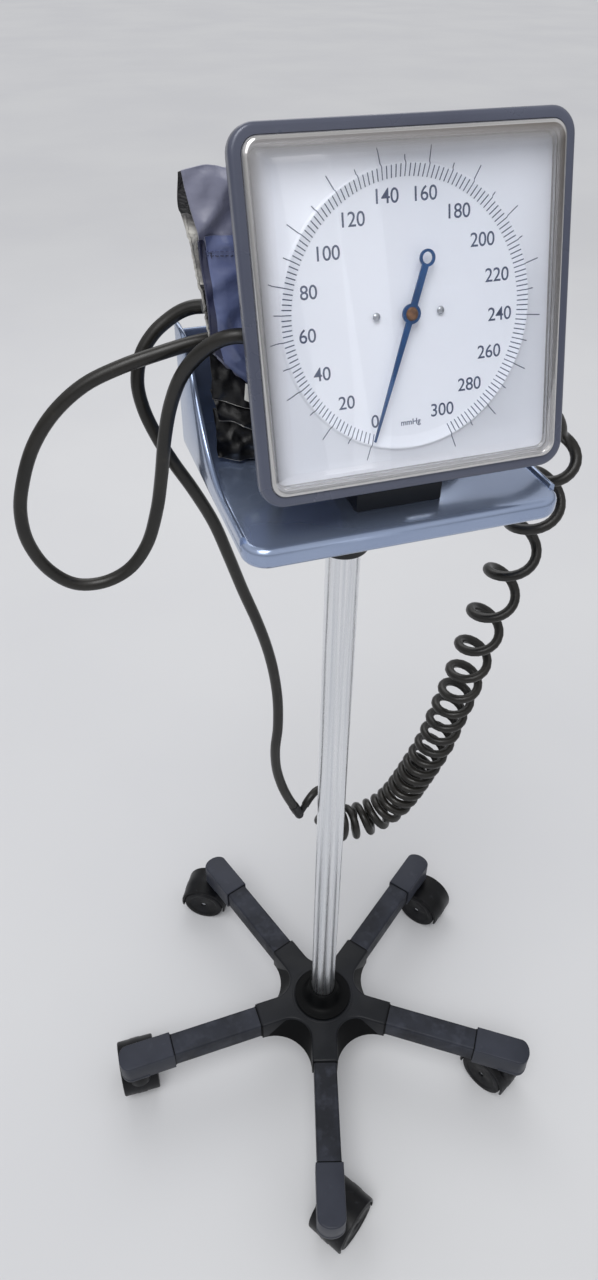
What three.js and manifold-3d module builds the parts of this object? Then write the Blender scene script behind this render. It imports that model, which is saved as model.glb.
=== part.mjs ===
// A floor-standing aneroid sphygmomanometer: a tilting gauge over a tray with the folded cuff and the bulb,
// on a pole with five arms and twin-wheel castors, and a coiled hose down to the cuff's hose.
// Millimetres. The floor is z = 0, x runs to the right and the gauge faces the -y side.
import * as THREE from "three";
import { mergeVertices } from "three/addons/utils/BufferGeometryUtils.js";
import Module from "manifold-3d";

const wasm = await Module();
wasm.setup();

// Gap between pieces that touch.
const GAP = 0.3;

// Castors
const WHEEL_RADIUS = 25;
const WHEEL_WIDTH = 15;
const WHEEL_FACETS = 20;
const WHEEL_RIM = 6;
const WHEEL_RECESS = 1.2;
const WHEEL_SHOULDER = 2;
const AXLE_RADIUS = 3;
const AXLE_RECESS = 1.5;
const WEB_WIDTH = 9;
const HOOD_CLEARANCE = 1.5;
const HOOD_WALL = 2.5;
const HOOD_DROOP = 12;
const AXLE_BOSS_RADIUS = 8;
const CASTOR_TRAIL = 19;
const SWIVEL_RISE = 4.1;
const SWIVEL_RADIUS = 10;
const STEM_RADIUS = 4;
const STEM_LENGTH = 21.9;
const STEM_CIRCLE_RADIUS = 215;
const CASTOR_TURNS = [33, 116, -54, 150, 88];

// Base
const ARM_COUNT = 5;
const FIRST_ARM_TURN = -17.1;
const ARM_SIZE = 24.5;
const ARM_WALL = 1.5;
const ARM_CORNER = 2.5;
const ARM_INNER_RADIUS = 40.3;
const ARM_OUTER_RADIUS = 198;
const SOCKET_WALL = 1.4;
const SOCKET_REACH = 76;
const HUB_FILLET = 23;
const HUB_FOOT_FILLET = 41;
const CAP_LENGTH = 58;
const CAP_OVERLAP = 23;
const CAP_END = 10;
const CAP_EDGE = 1.5;
const FILLET_STEPS = 6;
const HUB_FLOOR = 3.3;
const COLLAR_RADIUS = 31;
const COLLAR_FLANGE = 3;
const COLLAR_HEIGHT = 19.4;
const COLLAR_NECK_WALL = 2.7;
const COLLAR_FOOT_WALL = 7;
const BOLT_RADIUS = 4;
const BOLT_HEAD_RADIUS = 7.5;
const BOLT_HEAD_HEIGHT = 5.3;
const BOLT_LENGTH = 10;

// Pole and the funnel under the tray
const POLE_RADIUS = 12.5;
const POLE_WALL = 1.5;
const POLE_LENGTH = 695;
const POLE_FOOT = 5;
const FUNNEL_DEPTH = 61;
const FUNNEL_CAP = 5.4;
const FUNNEL_MOUTH_RADIUS = 17.5;
const FUNNEL_WAIST_RADIUS = 19;
const FUNNEL_FLANGE_RADIUS = 36;

// Tray
const TRAY_WIDTH = 194;
const TRAY_FRONT = -105;
const TRAY_BACK = 57;
const TRAY_FLOOR = 13;
const TRAY_EDGE = 4.5;
const TRAY_FRONT_CORNER = 15;
const TRAY_BACK_CORNER = 6;
const TRAY_WALL = 3.5;
const TRAY_SKIN = 3;
const TRAY_BOSS_RADIUS = 40;
const TRAY_LIP = 2;
const TRAY_WALL_HEIGHT = 70;
const SWEEP_RADIUS = 70;
const SWEEP_START = -58;
const SWEEP_ANGLE = 52;
const WALL_FRONT_CORNER = 8;
const WALL_BACK_CORNER = 7;

// Gauge, measured from the middle of its scale. Depths are positive towards the viewer.
const SCALE_Y = -72;
const SCALE_RISE = 106.6;
const LEAN = 15.7;
const CASE_RIM_WIDTH = 5.4;
const CASE_CORNER = 13;
const CASE_TAPER = 10.4;
const CASE_RIM_FRONT = 9.5;
const CASE_RIM_BACK = 2;
const CASE_BACK = -24;
const CASE_EDGE = 2.5;
const DIAL_LEDGE = 10;
const DIAL_SIZE = 163;
const DIAL_CORNER = 8;
const RECESS_CLEARANCE = 0.5;
const DIAL_THICKNESS = 1;
const DIAL_HOLE_RADIUS = 2.5;
const DIAL_SCREW_OFFSET = 17.6;
const DIAL_SCREW_RADIUS = 2.1;
const DIAL_SCREW_SHANK = 0.9;
const DIAL_SCREW_LENGTH = 2.7;
const DIAL_SCREW_DOME = 1.05;
const LENS_FRONT = 13;
const LENS_WALL = 2.2;
const LENS_PANE = 2.5;
const LENS_EDGE = 2.4;
const BACK_COVER = 3;
const BACK_COVER_EDGE = 1;
const PIVOT_DROP = 64;
const PIVOT_DEPTH = -40;
const LUG_WIDTH = 20;
const LUG_RADIUS = 9;
const TILT_PIN_RADIUS = 3;
const TILT_PIN_HEAD_RADIUS = 5;
const TILT_PIN_HEAD = 3;
const EAR_WIDTH = 8;
const EAR_RADIUS = 11.5;
const BRACKET_WIDTH = 52;
const BRACKET_FRONT = -82;
const BRACKET_STEP = -62.3;
const BRACKET_FRONT_HEIGHT = 13;
const BRACKET_STEP_HEIGHT = 15;
const BRACKET_EDGE = 2;

// Movement inside the gauge
const POINTER_BACK = 3;
const POINTER_THICKNESS = 1.3;
const POINTER_REACH = 65.5;
const POINTER_TAIL = 31;
const POINTER_HUB_RADIUS = 4.9;
const POINTER_ROOT_WIDTH = 3.4;
const POINTER_TIP_WIDTH = 0.9;
const POINTER_RING_RADIUS = 4.1;
const POINTER_RING_HOLE = 2.8;
const POINTER_REST = -160;
const SHAFT_RADIUS = 1;
const SHAFT_CAP_RADIUS = 3.3;
const SHAFT_CAP_HEIGHT = 1.4;
const SHAFT_CAP_TOP_RADIUS = 2.6;
const SHAFT_CAP_SHOULDER = 1;
const PINION_TEETH = 10;
const SECTOR_TEETH = 100;
const GEAR_MODULE = 0.5;
const TOOTH_ROOT_DEPTH = 0.6;
const TOOTH_TIP_HEIGHT = 0.4;
const TOOTH_ROOT_SHARE = 0.3;
const TOOTH_TIP_SHARE = 0.12;
const GEAR_BACK = -10;
const GEAR_FRONT = -7.5;
const SECTOR_FIRST_TOOTH = -2;
const SECTOR_LAST_TOOTH = 10;
const SECTOR_TAIL_RADIUS = 4;
const FRAME_FRONT_BACK = -5.5;
const FRAME_BACK_FRONT = -12.5;
const FRAME_PLATE = 1.5;
const FRAME_WIDTH = 56;
const FRAME_TOP = 16;
const FRAME_BOTTOM = -38;
const PILLAR_INSET = 3;
const FRAME_LEG_RADIUS = 2.5;
const CAPSULE_RADIUS = 23;
const CAPSULE_FRONT = -16;
const CAPSULE_BACK = -23.5;
const CAPSULE_WAVE = 0.8;
const CAPSULE_WAVES = 2;
const CAPSULE_STUD_RADIUS = 2;
const CAPSULE_SEAT_RADIUS = 5;
const CAPSULE_RIM = 1;
const HAIRSPRING_TURNS = 3;
const HAIRSPRING_INNER_RADIUS = 1.8;
const HAIRSPRING_PITCH = 1.4;
const HAIRSPRING_THICKNESS = 0.5;
const HAIRSPRING_WIDTH = 0.8;

// Pressure port behind the case, its barb on the tilt axis
const PORT_X = 45;
const PORT_RADIUS = 5;
const PORT_FLANGE_RADIUS = 8;
const PORT_FLANGE = 2;
const PORT_REACH = 68;

// Cuff: one long band wound flat, standing on the tray and leaning left
const CUFF_HEIGHT = 155;
const CUFF_LENGTH = 135;
const CUFF_LAYER = 7.3;
const CUFF_LAYER_GAP = 0.9;
const CUFF_FIRST_RADIUS = 4.2;
const CUFF_TURNS = 1.75;
const CUFF_MIDDLE_X = -11.5;
const CUFF_MIDDLE_Y = 27.7;
const CUFF_LEAN = 0.147;
const CUFF_SAG = 3;
const CUFF_STEPS = 4;

// Bulb and its release valve, lying behind the gauge
const BULB_LENGTH = 75;
const BULB_RADIUS = 20.5;
const BULB_NECK_RADIUS = 8;
const BULB_NECK_LENGTH = 5;
const BULB_START_X = 0;
const BULB_Y = -16.8;
const VALVE_RADIUS = 6.5;
const VALVE_LENGTH = 20;
const BARB_RADIUS = 3.2;
const BARB_LENGTH = 9.7;
const KNOB_RADIUS = 6;
const KNOB_HEIGHT = 7;
const KNOB_SEAT_RADIUS = 4;
const KNOB_SEAT_HEIGHT = 1;
const KNOB_RIDGES = 12;
const KNOB_RIDGE = 0.5;

// Hoses
const HOSE_RADIUS = 4.25;
const COIL_TUBE_RADIUS = 3.75;
const HOSE_SIDES = 8;
const COIL_SIDES = 5;
const COIL_STEPS = 8;
const COIL_RADIUS = 14.3;
const COIL_START_TURN = 0.68;
const LEAST_COIL_GAP = 0.4;
const COIL_RAMP_IN = 12;
const COIL_RAMP_LENGTH = 24;
const COIL_RAMP_OUT = 30;
const CONNECTOR_RADIUS = 4.6;
const CONNECTOR_LENGTH = 9;
const PLUG_RADIUS = 4.2;
const PLUG_LENGTH = 6.5;
const ELBOW_RADIUS = 3;

// From the valve behind the gauge, over the tray's left wall, round one hanging loop and back to the cuff.
const BULB_HOSE_ROUTE = [
  [-30.3, -16.8, 796.8], [-39, -16.8, 796.8], [-49, -17, 801], [-55, -18, 811], [-57, -19, 824], [-58, -20, 838],
  [-62, -21, 851], [-71, -21.5, 860], [-82, -18, 859.5], [-93, -11, 851.5], [-104, -1, 835], [-111, 6, 815],
  [-116, 10, 792], [-120, 13.5, 764], [-125, 16, 738], [-134, 18, 712], [-148, 20, 694], [-166, 22, 686],
  [-184, 23.5, 688], [-199, 25, 702], [-208, 27, 724], [-208.5, 28, 746], [-203, 28, 767], [-193, 28, 789],
  [-178, 26, 809], [-158, 23.5, 825], [-136, 21.5, 834], [-113, 20, 840], [-94, 19, 844], [-79.3, 19, 845.5],
];

// From the cuff over the tray's back corner and down to the connector beside the pole.
const CUFF_HOSE_ROUTE = [
  [-81.3, 38, 858], [-87, 41, 857], [-93.5, 43.5, 854.5], [-101, 45, 850], [-111, 45, 842.5], [-120, 43.5, 831],
  [-124.5, 41, 815], [-123, 38, 799], [-117, 33, 781], [-109, 29.5, 764], [-98, 27, 743.5], [-86, 25, 717],
  [-77, 23.5, 688], [-68, 23, 657], [-58.5, 22, 627], [-50.5, 22, 597], [-45.5, 22, 569], [-43, 21, 540],
  [-43.5, 20, 510], [-46, 20, 484], [-45, 20, 460], [-40.5, 20, 437], [-35, 20, 419], [-29.5, 20, 405],
];

// The coiled hose: a straight tail from the connector, the coil's middle line, and a straight lead to the port.
const COIL_TAIL = [
  [-17, 22.5, 398], [-12.4, 24.3, 403.6], [-4.5, 28.5, 406.5], [3, 33, 401], [7, 36, 387], [8.5, 37.5, 368],
];
const COIL_MIDDLE = [
  [8, 37.5, 347], [24, 37.5, 338], [46, 36.5, 336], [64, 35, 342], [78, 33, 355], [88, 30.5, 374],
  [96, 27, 398], [104, 23.5, 424], [110, 20, 450], [115, 15, 487], [119, 7, 532], [122, -6, 604],
  [126, -22, 675], [129, -37, 735], [129, -46, 765],
];
const COIL_LEAD = [
  [125, -49.5, 785], [115, -50.8, 802], [99, -50.8, 810.2], [84, -50.8, 810.2], [68.3, -50.8, 810.2],
];
// Distance along the middle line and the rise of one turn there: the coil hangs, so its top is drawn open.
const COIL_PITCH = [
  [0, 13], [45, 13.2], [66, 12], [130, 11.6], [165, 17], [240, 21.5], [300, 36], [390, 49.5], [520, 45],
];

// Sizes that follow from those above
const rad = THREE.MathUtils.degToRad;
const WHEEL_SPACE_RADIUS = WHEEL_RADIUS + HOOD_CLEARANCE;
const HOOD_RADIUS = WHEEL_SPACE_RADIUS + HOOD_WALL;
const HOOD_WIDTH = WEB_WIDTH + 2 * (GAP + WHEEL_WIDTH);
const SWIVEL_TOP = WHEEL_RADIUS + HOOD_RADIUS + SWIVEL_RISE;
const BASE_BOTTOM = SWIVEL_TOP + GAP;
const SOCKET_SIZE = ARM_SIZE + 2 * (GAP + SOCKET_WALL);
const BASE_TOP = BASE_BOTTOM + SOCKET_SIZE;
const POLE_BOTTOM = BASE_BOTTOM + HUB_FLOOR + GAP;
const POLE_TOP = POLE_BOTTOM + POLE_LENGTH;
const POLE_BORE_RADIUS = POLE_RADIUS + GAP;
const FUNNEL_TOP = POLE_TOP + GAP + FUNNEL_CAP;
const TRAY_BOTTOM = FUNNEL_TOP + GAP;
const TRAY_TOP = TRAY_BOTTOM + TRAY_FLOOR;
const SCALE_Z = TRAY_TOP + SCALE_RISE;
const CASE_BACK_CORNER = CASE_CORNER - CASE_TAPER;
const COVER_FRONT = CASE_BACK - GAP;
const COVER_BACK = COVER_FRONT - BACK_COVER;
const DIAL_SEAT = -DIAL_THICKNESS - GAP;
const RECESS_SIZE = DIAL_SIZE + 2 * RECESS_CLEARANCE;
const CASE_SIZE = RECESS_SIZE + 2 * CASE_RIM_WIDTH;
const CASE_BACK_SIZE = CASE_SIZE - 2 * CASE_TAPER;
const CASE_CAVITY_SIZE = RECESS_SIZE - 2 * DIAL_LEDGE;
const EAR_INNER = LUG_WIDTH / 2 + GAP;
const PIVOT_Y = SCALE_Y - PIVOT_DEPTH * Math.cos(rad(LEAN)) - PIVOT_DROP * Math.sin(rad(LEAN));
const PIVOT_Z = SCALE_Z + PIVOT_DEPTH * Math.sin(rad(LEAN)) - PIVOT_DROP * Math.cos(rad(LEAN));
const GEAR_DISTANCE = (GEAR_MODULE * (PINION_TEETH + SECTOR_TEETH)) / 2;
const FRAME_FRONT = FRAME_FRONT_BACK + FRAME_PLATE;
const FRAME_BACK = FRAME_BACK_FRONT - FRAME_PLATE;

const FINISHES = {
  blackPlastic: { color: "#26282e", roughness: 0.45, metalness: 0 },
  charcoal: { color: "#2b2d34", roughness: 0.5, metalness: 0.1 },
  aluminium: { color: "#c9ccd2", roughness: 0.25, metalness: 1 },
  steel: { color: "#a9adb3", roughness: 0.3, metalness: 1 },
  brass: { color: "#b69a58", roughness: 0.35, metalness: 1 },
  slate: { color: "#5f6478", roughness: 0.35, metalness: 0.1 },
  trayBlue: { color: "#5a6379", roughness: 0.2, metalness: 0.4 },
  clear: { color: "#eef2f6", roughness: 0.05, metalness: 0 },
  dialWhite: { color: "#eef0f4", roughness: 0.5, metalness: 0 },
  pointerBlue: { color: "#24487a", roughness: 0.4, metalness: 0.2 },
  navy: { color: "#3c4260", roughness: 0.8, metalness: 0 },
  rubber: { color: "#2a2826", roughness: 0.7, metalness: 0 },
  tyre: { color: "#4a4c52", roughness: 0.6, metalness: 0 },
};

// Solids

// The closed surface of a geometry as a solid that can be cut and joined.
function solid(geometry) {
  const bare = geometry.clone();
  bare.deleteAttribute("normal");
  bare.deleteAttribute("uv");
  const welded = mergeVertices(bare, 1e-4);
  const vertProperties = welded.attributes.position.array;
  const triVerts = new Uint32Array(welded.index.array);
  return new wasm.Manifold(new wasm.Mesh({ numProp: 3, vertProperties, triVerts }));
}

function geometryOf(made) {
  const { vertProperties, triVerts } = made.getMesh();
  const geometry = new THREE.BufferGeometry();
  geometry.setAttribute("position", new THREE.BufferAttribute(vertProperties, 3));
  geometry.setIndex(new THREE.BufferAttribute(triVerts, 1));
  return geometry;
}

function join(first, ...others) {
  return geometryOf(others.reduce((sum, other) => sum.add(solid(other)), solid(first)));
}

function cut(body, ...tools) {
  return geometryOf(tools.reduce((left, tool) => left.subtract(solid(tool)), solid(body)));
}

function common(body, other) {
  return geometryOf(solid(body).intersect(solid(other)));
}

// Shapes

function roundedRectangle(width, height, radius) {
  const x = width / 2 - radius;
  const y = height / 2 - radius;
  const shape = new THREE.Shape();
  shape.absarc(x, -y, radius, -Math.PI / 2, 0);
  shape.absarc(x, y, radius, 0, Math.PI / 2);
  shape.absarc(-x, y, radius, Math.PI / 2, Math.PI);
  shape.absarc(-x, -y, radius, Math.PI, 1.5 * Math.PI);
  shape.closePath();
  return shape;
}

// The outline standing between two heights, its edges rounded by the given radius.
function prism(shape, bottom, top, edge = 0, curveSegments = 3) {
  const geometry = new THREE.ExtrudeGeometry(shape, {
    depth: top - bottom - 2 * edge,
    bevelEnabled: edge > 0,
    bevelThickness: edge,
    bevelSize: edge,
    bevelOffset: -edge,
    bevelSegments: edge > CAP_EDGE ? 2 : 1,
    curveSegments,
  });
  return geometry.translate(0, 0, bottom + edge);
}

// The same with only its top edge rounded.
function crowned(shape, bottom, top, edge) {
  const tall = prism(shape, bottom - 3 * edge, top, edge);
  return cut(tall, prism(shape, bottom - 4 * edge, bottom));
}

// An outline in x and z, from one y to another.
function alongY(shape, from, to, curveSegments = 3) {
  return prism(shape, -to, -from, 0, curveSegments).rotateX(Math.PI / 2);
}

// An outline in y and z, from one x to another.
function alongX(shape, from, to, curveSegments = 3) {
  return prism(shape, from, to, 0, curveSegments).rotateX(Math.PI / 2).rotateZ(Math.PI / 2);
}

// A round body about Z from [radius, height] points, listed so that its outside is on the right.
function turned(profile, segments = 24) {
  const points = profile.map(([radius, height]) => new THREE.Vector2(radius, height));
  return new THREE.LatheGeometry(points, segments).rotateX(Math.PI / 2);
}

// A solid between two outlines of as many points, each listed anticlockwise from above.
function lofted(lower, upper, bottom, top) {
  const count = lower.length;
  const rings = [...lower.map(({ x, y }) => [x, y, bottom]), ...upper.map(({ x, y }) => [x, y, top])];
  const faces = [];
  for (let index = 0; index < count; index += 1) {
    const next = (index + 1) % count;
    faces.push([index, next, count + next], [index, count + next, count + index]);
  }
  for (const [a, b, c] of THREE.ShapeUtils.triangulateShape(lower, [])) faces.push([a, c, b]);
  for (const face of THREE.ShapeUtils.triangulateShape(upper, [])) {
    faces.push(face.map((corner) => count + corner));
  }
  const geometry = new THREE.BufferGeometry();
  geometry.setAttribute("position", new THREE.Float32BufferAttribute(rings.flat(), 3));
  geometry.setIndex(faces.flat());
  return geometry;
}

function post(radius, bottom, top, segments = 20) {
  const geometry = new THREE.CylinderGeometry(radius, radius, top - bottom, segments);
  return geometry.rotateX(Math.PI / 2).translate(0, 0, (bottom + top) / 2);
}

function rodAlongX(radius, from, to, segments = 20) {
  return post(radius, from, to, segments).rotateY(Math.PI / 2);
}

function rodAlongY(radius, from, to, segments = 20) {
  return post(radius, -to, -from, segments).rotateX(Math.PI / 2);
}

function block(x0, x1, y0, y1, z0, z1) {
  const geometry = new THREE.BoxGeometry(x1 - x0, y1 - y0, z1 - z0);
  return geometry.translate((x0 + x1) / 2, (y0 + y1) / 2, (z0 + z1) / 2);
}

function piece(parent, name, geometry, finish) {
  const mesh = new THREE.Mesh(geometry, new THREE.MeshStandardMaterial(FINISHES[finish]));
  mesh.name = name;
  parent.add(mesh);
  return mesh;
}

// Castors, about the stem: x points along the trail, z is the height above the floor.

function castorHood() {
  const side = new THREE.Shape();
  side.absarc(0, 0, HOOD_RADIUS, rad(-HOOD_DROOP), rad(180 + HOOD_DROOP));
  side.closePath();
  const cover = alongY(side, -HOOD_WIDTH / 2, HOOD_WIDTH / 2, 7);
  const axleBoss = rodAlongY(AXLE_BOSS_RADIUS, -WEB_WIDTH / 2, WEB_WIDTH / 2, 12);
  const boss = post(SWIVEL_RADIUS, HOOD_RADIUS / 2, SWIVEL_TOP - WHEEL_RADIUS, 12);
  const stem = post(STEM_RADIUS, HOOD_RADIUS / 2, SWIVEL_TOP - WHEEL_RADIUS + STEM_LENGTH, 8);
  const body = join(
    cover,
    axleBoss,
    boss.translate(-CASTOR_TRAIL, 0, 0),
    stem.translate(-CASTOR_TRAIL, 0, 0),
  );
  const outside = HOOD_WIDTH / 2 + 1;
  const spaces = [
    rodAlongY(WHEEL_SPACE_RADIUS, WEB_WIDTH / 2, outside, WHEEL_FACETS),
    rodAlongY(WHEEL_SPACE_RADIUS, -outside, -WEB_WIDTH / 2, WHEEL_FACETS),
  ];
  const bore = rodAlongY(AXLE_RADIUS + GAP, -WEB_WIDTH, WEB_WIDTH, 8);
  return cut(body, ...spaces, bore).translate(CASTOR_TRAIL, 0, WHEEL_RADIUS);
}

// A wheel with its inner face at y = 0 and a flat facet at the bottom.
function castorWheel() {
  const rim = WHEEL_RADIUS / Math.cos(Math.PI / WHEEL_FACETS);
  const bore = AXLE_RADIUS + GAP;
  const dish = WHEEL_WIDTH - WHEEL_RECESS;
  const profile = [
    [bore, 0],
    [rim, 0],
    [rim, WHEEL_WIDTH - WHEEL_SHOULDER],
    [rim - WHEEL_SHOULDER, WHEEL_WIDTH],
    [rim - WHEEL_RIM, WHEEL_WIDTH],
    [rim - WHEEL_RIM - WHEEL_SHOULDER, dish],
    [bore, dish],
    [bore, 0],
  ];
  return turned(profile, WHEEL_FACETS).rotateZ(Math.PI / WHEEL_FACETS).rotateX(-Math.PI / 2);
}

function castor(number, turn) {
  const group = new THREE.Group();
  group.rotation.z = turn;
  piece(group, `castor_hood_${number}`, castorHood(), "charcoal");
  const halfAxle = WEB_WIDTH / 2 + GAP + WHEEL_WIDTH - WHEEL_RECESS - AXLE_RECESS;
  const axle = rodAlongY(AXLE_RADIUS, -halfAxle, halfAxle, 8);
  piece(group, `castor_axle_${number}`, axle.translate(CASTOR_TRAIL, 0, WHEEL_RADIUS), "steel");
  for (const side of [1, -1]) {
    const name = `castor_wheel_${number}${side > 0 ? "a" : "b"}`;
    const wheel = piece(group, name, castorWheel(), "tyre");
    wheel.position.set(CASTOR_TRAIL, side * (WEB_WIDTH / 2 + GAP), WHEEL_RADIUS);
    wheel.rotation.z = side > 0 ? 0 : Math.PI;
  }
  return group;
}

// Base

function armAngle(index) {
  return rad(FIRST_ARM_TURN - 90 + (360 / ARM_COUNT) * index);
}

// Sockets of the given half width joined by round fillets, seen from above.
function hubOutline(half, fillet) {
  const step = (2 * Math.PI) / ARM_COUNT;
  const centreRadius = (half + fillet) / Math.sin(step / 2);
  const centre = new THREE.Vector2();
  const shape = new THREE.Shape();
  for (let index = 0; index < ARM_COUNT; index += 1) {
    const turn = armAngle(index);
    for (const side of [-half, half]) {
      const corner = new THREE.Vector2(SOCKET_REACH, side).rotateAround(centre, turn);
      if (index === 0 && side < 0) shape.moveTo(corner.x, corner.y);
      else shape.lineTo(corner.x, corner.y);
    }
    const x = centreRadius * Math.cos(turn + step / 2);
    const y = centreRadius * Math.sin(turn + step / 2);
    shape.absarc(x, y, fillet, turn - Math.PI / 2, turn + step - 1.5 * Math.PI, true);
  }
  shape.closePath();
  return shape;
}

function armSpace(from, to) {
  const half = ARM_SIZE / 2 + GAP;
  const middle = BASE_BOTTOM + SOCKET_SIZE / 2;
  return block(from, to, -half, half, middle - half, middle + half);
}

// The sloping web between the sockets: its fillets tighten from the foot to the top.
function hubSkirt() {
  const half = SOCKET_SIZE / 2 - GAP;
  const foot = hubOutline(half, HUB_FOOT_FILLET).getPoints(FILLET_STEPS);
  const head = hubOutline(half, HUB_FILLET + GAP).getPoints(FILLET_STEPS);
  return lofted(foot, head, BASE_BOTTOM, BASE_TOP - CAP_EDGE);
}

function baseHub() {
  const star = prism(hubOutline(SOCKET_SIZE / 2, HUB_FILLET), BASE_BOTTOM, BASE_TOP, CAP_EDGE, 4);
  const body = join(star, hubSkirt());
  const spaces = [];
  for (let index = 0; index < ARM_COUNT; index += 1) {
    const space = armSpace(ARM_INNER_RADIUS - GAP, SOCKET_REACH + 1);
    spaces.push(space.rotateZ(armAngle(index)));
  }
  const poleBore = post(POLE_BORE_RADIUS, POLE_BOTTOM - GAP, BASE_TOP + 1, 24);
  const boltHole = post(BOLT_RADIUS + GAP, BASE_BOTTOM - 1, POLE_BOTTOM, 14);
  return cut(body, ...spaces, poleBore, boltHole);
}

function armTube() {
  const section = roundedRectangle(ARM_SIZE, ARM_SIZE, ARM_CORNER);
  const bore = ARM_SIZE - 2 * ARM_WALL;
  section.holes.push(roundedRectangle(bore, bore, ARM_CORNER - ARM_WALL));
  const tube = prism(section, ARM_INNER_RADIUS, ARM_OUTER_RADIUS, 0, 1).rotateY(Math.PI / 2);
  return tube.translate(0, 0, BASE_BOTTOM + SOCKET_SIZE / 2);
}

function armCap() {
  const half = SOCKET_SIZE / 2;
  const inner = ARM_OUTER_RADIUS - CAP_OVERLAP;
  const shape = new THREE.Shape();
  shape.moveTo(inner, half);
  shape.lineTo(inner, -half);
  const end = inner + CAP_LENGTH - CAP_END;
  shape.absellipse(end, 0, CAP_END, half, -Math.PI / 2, Math.PI / 2);
  shape.closePath();
  const body = prism(shape, BASE_BOTTOM, BASE_TOP, CAP_EDGE, 4);
  const stemTop = SWIVEL_TOP + STEM_LENGTH + GAP;
  const stemBore = post(STEM_RADIUS + GAP, BASE_BOTTOM - 1, stemTop, 12);
  return cut(
    body,
    armSpace(inner - 1, ARM_OUTER_RADIUS + GAP),
    stemBore.translate(STEM_CIRCLE_RADIUS, 0, 0),
  );
}

function hubCollar() {
  const foot = BASE_TOP + GAP;
  return turned([
    [POLE_BORE_RADIUS, foot],
    [COLLAR_RADIUS, foot],
    [COLLAR_RADIUS, foot + COLLAR_FLANGE],
    [POLE_BORE_RADIUS + COLLAR_FOOT_WALL, foot + COLLAR_FLANGE],
    [POLE_BORE_RADIUS + COLLAR_NECK_WALL, foot + COLLAR_HEIGHT],
    [POLE_BORE_RADIUS, foot + COLLAR_HEIGHT],
    [POLE_BORE_RADIUS, foot],
  ]);
}

function poleTube() {
  const inner = POLE_RADIUS - POLE_WALL;
  const hole = BOLT_RADIUS + GAP;
  return turned([
    [hole, POLE_BOTTOM],
    [POLE_RADIUS, POLE_BOTTOM],
    [POLE_RADIUS, POLE_TOP],
    [inner, POLE_TOP],
    [inner, POLE_BOTTOM + POLE_FOOT],
    [hole, POLE_BOTTOM + POLE_FOOT],
    [hole, POLE_BOTTOM],
  ]);
}

function poleBolt() {
  const seat = BASE_BOTTOM - GAP;
  const head = post(BOLT_HEAD_RADIUS, seat - BOLT_HEAD_HEIGHT, seat, 6);
  const shank = post(BOLT_RADIUS, seat - 1, POLE_BOTTOM + BOLT_LENGTH, 16);
  return join(head, shank);
}

// The funnel that carries the tray on the pole, its flare a quarter circle.
function traySocket() {
  const flare = FUNNEL_FLANGE_RADIUS - FUNNEL_WAIST_RADIUS;
  const roof = POLE_TOP + GAP;
  const profile = [
    [0, roof],
    [POLE_BORE_RADIUS, roof],
    [POLE_BORE_RADIUS, POLE_TOP - FUNNEL_DEPTH],
    [FUNNEL_MOUTH_RADIUS, POLE_TOP - FUNNEL_DEPTH],
  ];
  const steps = 4;
  for (let step = 0; step <= steps; step += 1) {
    const turn = (Math.PI / 2) * (step / steps);
    const radius = FUNNEL_FLANGE_RADIUS - flare * Math.cos(turn);
    profile.push([radius, POLE_TOP - flare * (1 - Math.sin(turn))]);
  }
  profile.push([FUNNEL_FLANGE_RADIUS, FUNNEL_TOP], [0, FUNNEL_TOP]);
  return turned(profile);
}

// Tray

// The tray's outline from above, drawn in by an inset.
function trayPlan(inset) {
  const x = TRAY_WIDTH / 2 - inset;
  const front = TRAY_FRONT + inset;
  const back = TRAY_BACK - inset;
  const frontCorner = Math.max(TRAY_FRONT_CORNER - inset, 1);
  const backCorner = Math.max(TRAY_BACK_CORNER - inset, 1);
  const shape = new THREE.Shape();
  shape.absarc(x - frontCorner, front + frontCorner, frontCorner, -Math.PI / 2, 0);
  shape.absarc(x - backCorner, back - backCorner, backCorner, 0, Math.PI / 2);
  shape.absarc(backCorner - x, back - backCorner, backCorner, Math.PI / 2, Math.PI);
  shape.absarc(frontCorner - x, front + frontCorner, frontCorner, Math.PI, 1.5 * Math.PI);
  shape.closePath();
  return shape;
}

// The side wall's outline in y and z: a low lip, a round sweep up, a straight slope and a flat top.
function wallOutline() {
  const lip = TRAY_TOP + TRAY_LIP;
  const top = TRAY_TOP + TRAY_WALL_HEIGHT;
  const front = TRAY_FRONT + TRAY_FRONT_CORNER;
  const slope = rad(SWEEP_ANGLE);
  const sweepEndY = SWEEP_START + SWEEP_RADIUS * Math.sin(slope);
  const sweepEndZ = lip + SWEEP_RADIUS * (1 - Math.cos(slope));
  const cornerZ = top - WALL_FRONT_CORNER;
  const rise = (cornerZ - sweepEndZ) * Math.cos(slope);
  const cornerY = sweepEndY + (WALL_FRONT_CORNER + rise) / Math.sin(slope);
  const shape = new THREE.Shape();
  shape.moveTo(front, TRAY_BOTTOM);
  shape.lineTo(TRAY_BACK, TRAY_BOTTOM);
  shape.absarc(TRAY_BACK - WALL_BACK_CORNER, top - WALL_BACK_CORNER, WALL_BACK_CORNER, 0, Math.PI / 2);
  shape.absarc(cornerY, cornerZ, WALL_FRONT_CORNER, Math.PI / 2, Math.PI / 2 + slope);
  shape.absarc(SWEEP_START, lip + SWEEP_RADIUS, SWEEP_RADIUS, slope - Math.PI / 2, -Math.PI / 2, true);
  shape.lineTo(front + TRAY_LIP, lip);
  shape.lineTo(front, TRAY_TOP);
  shape.closePath();
  return shape;
}

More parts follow.
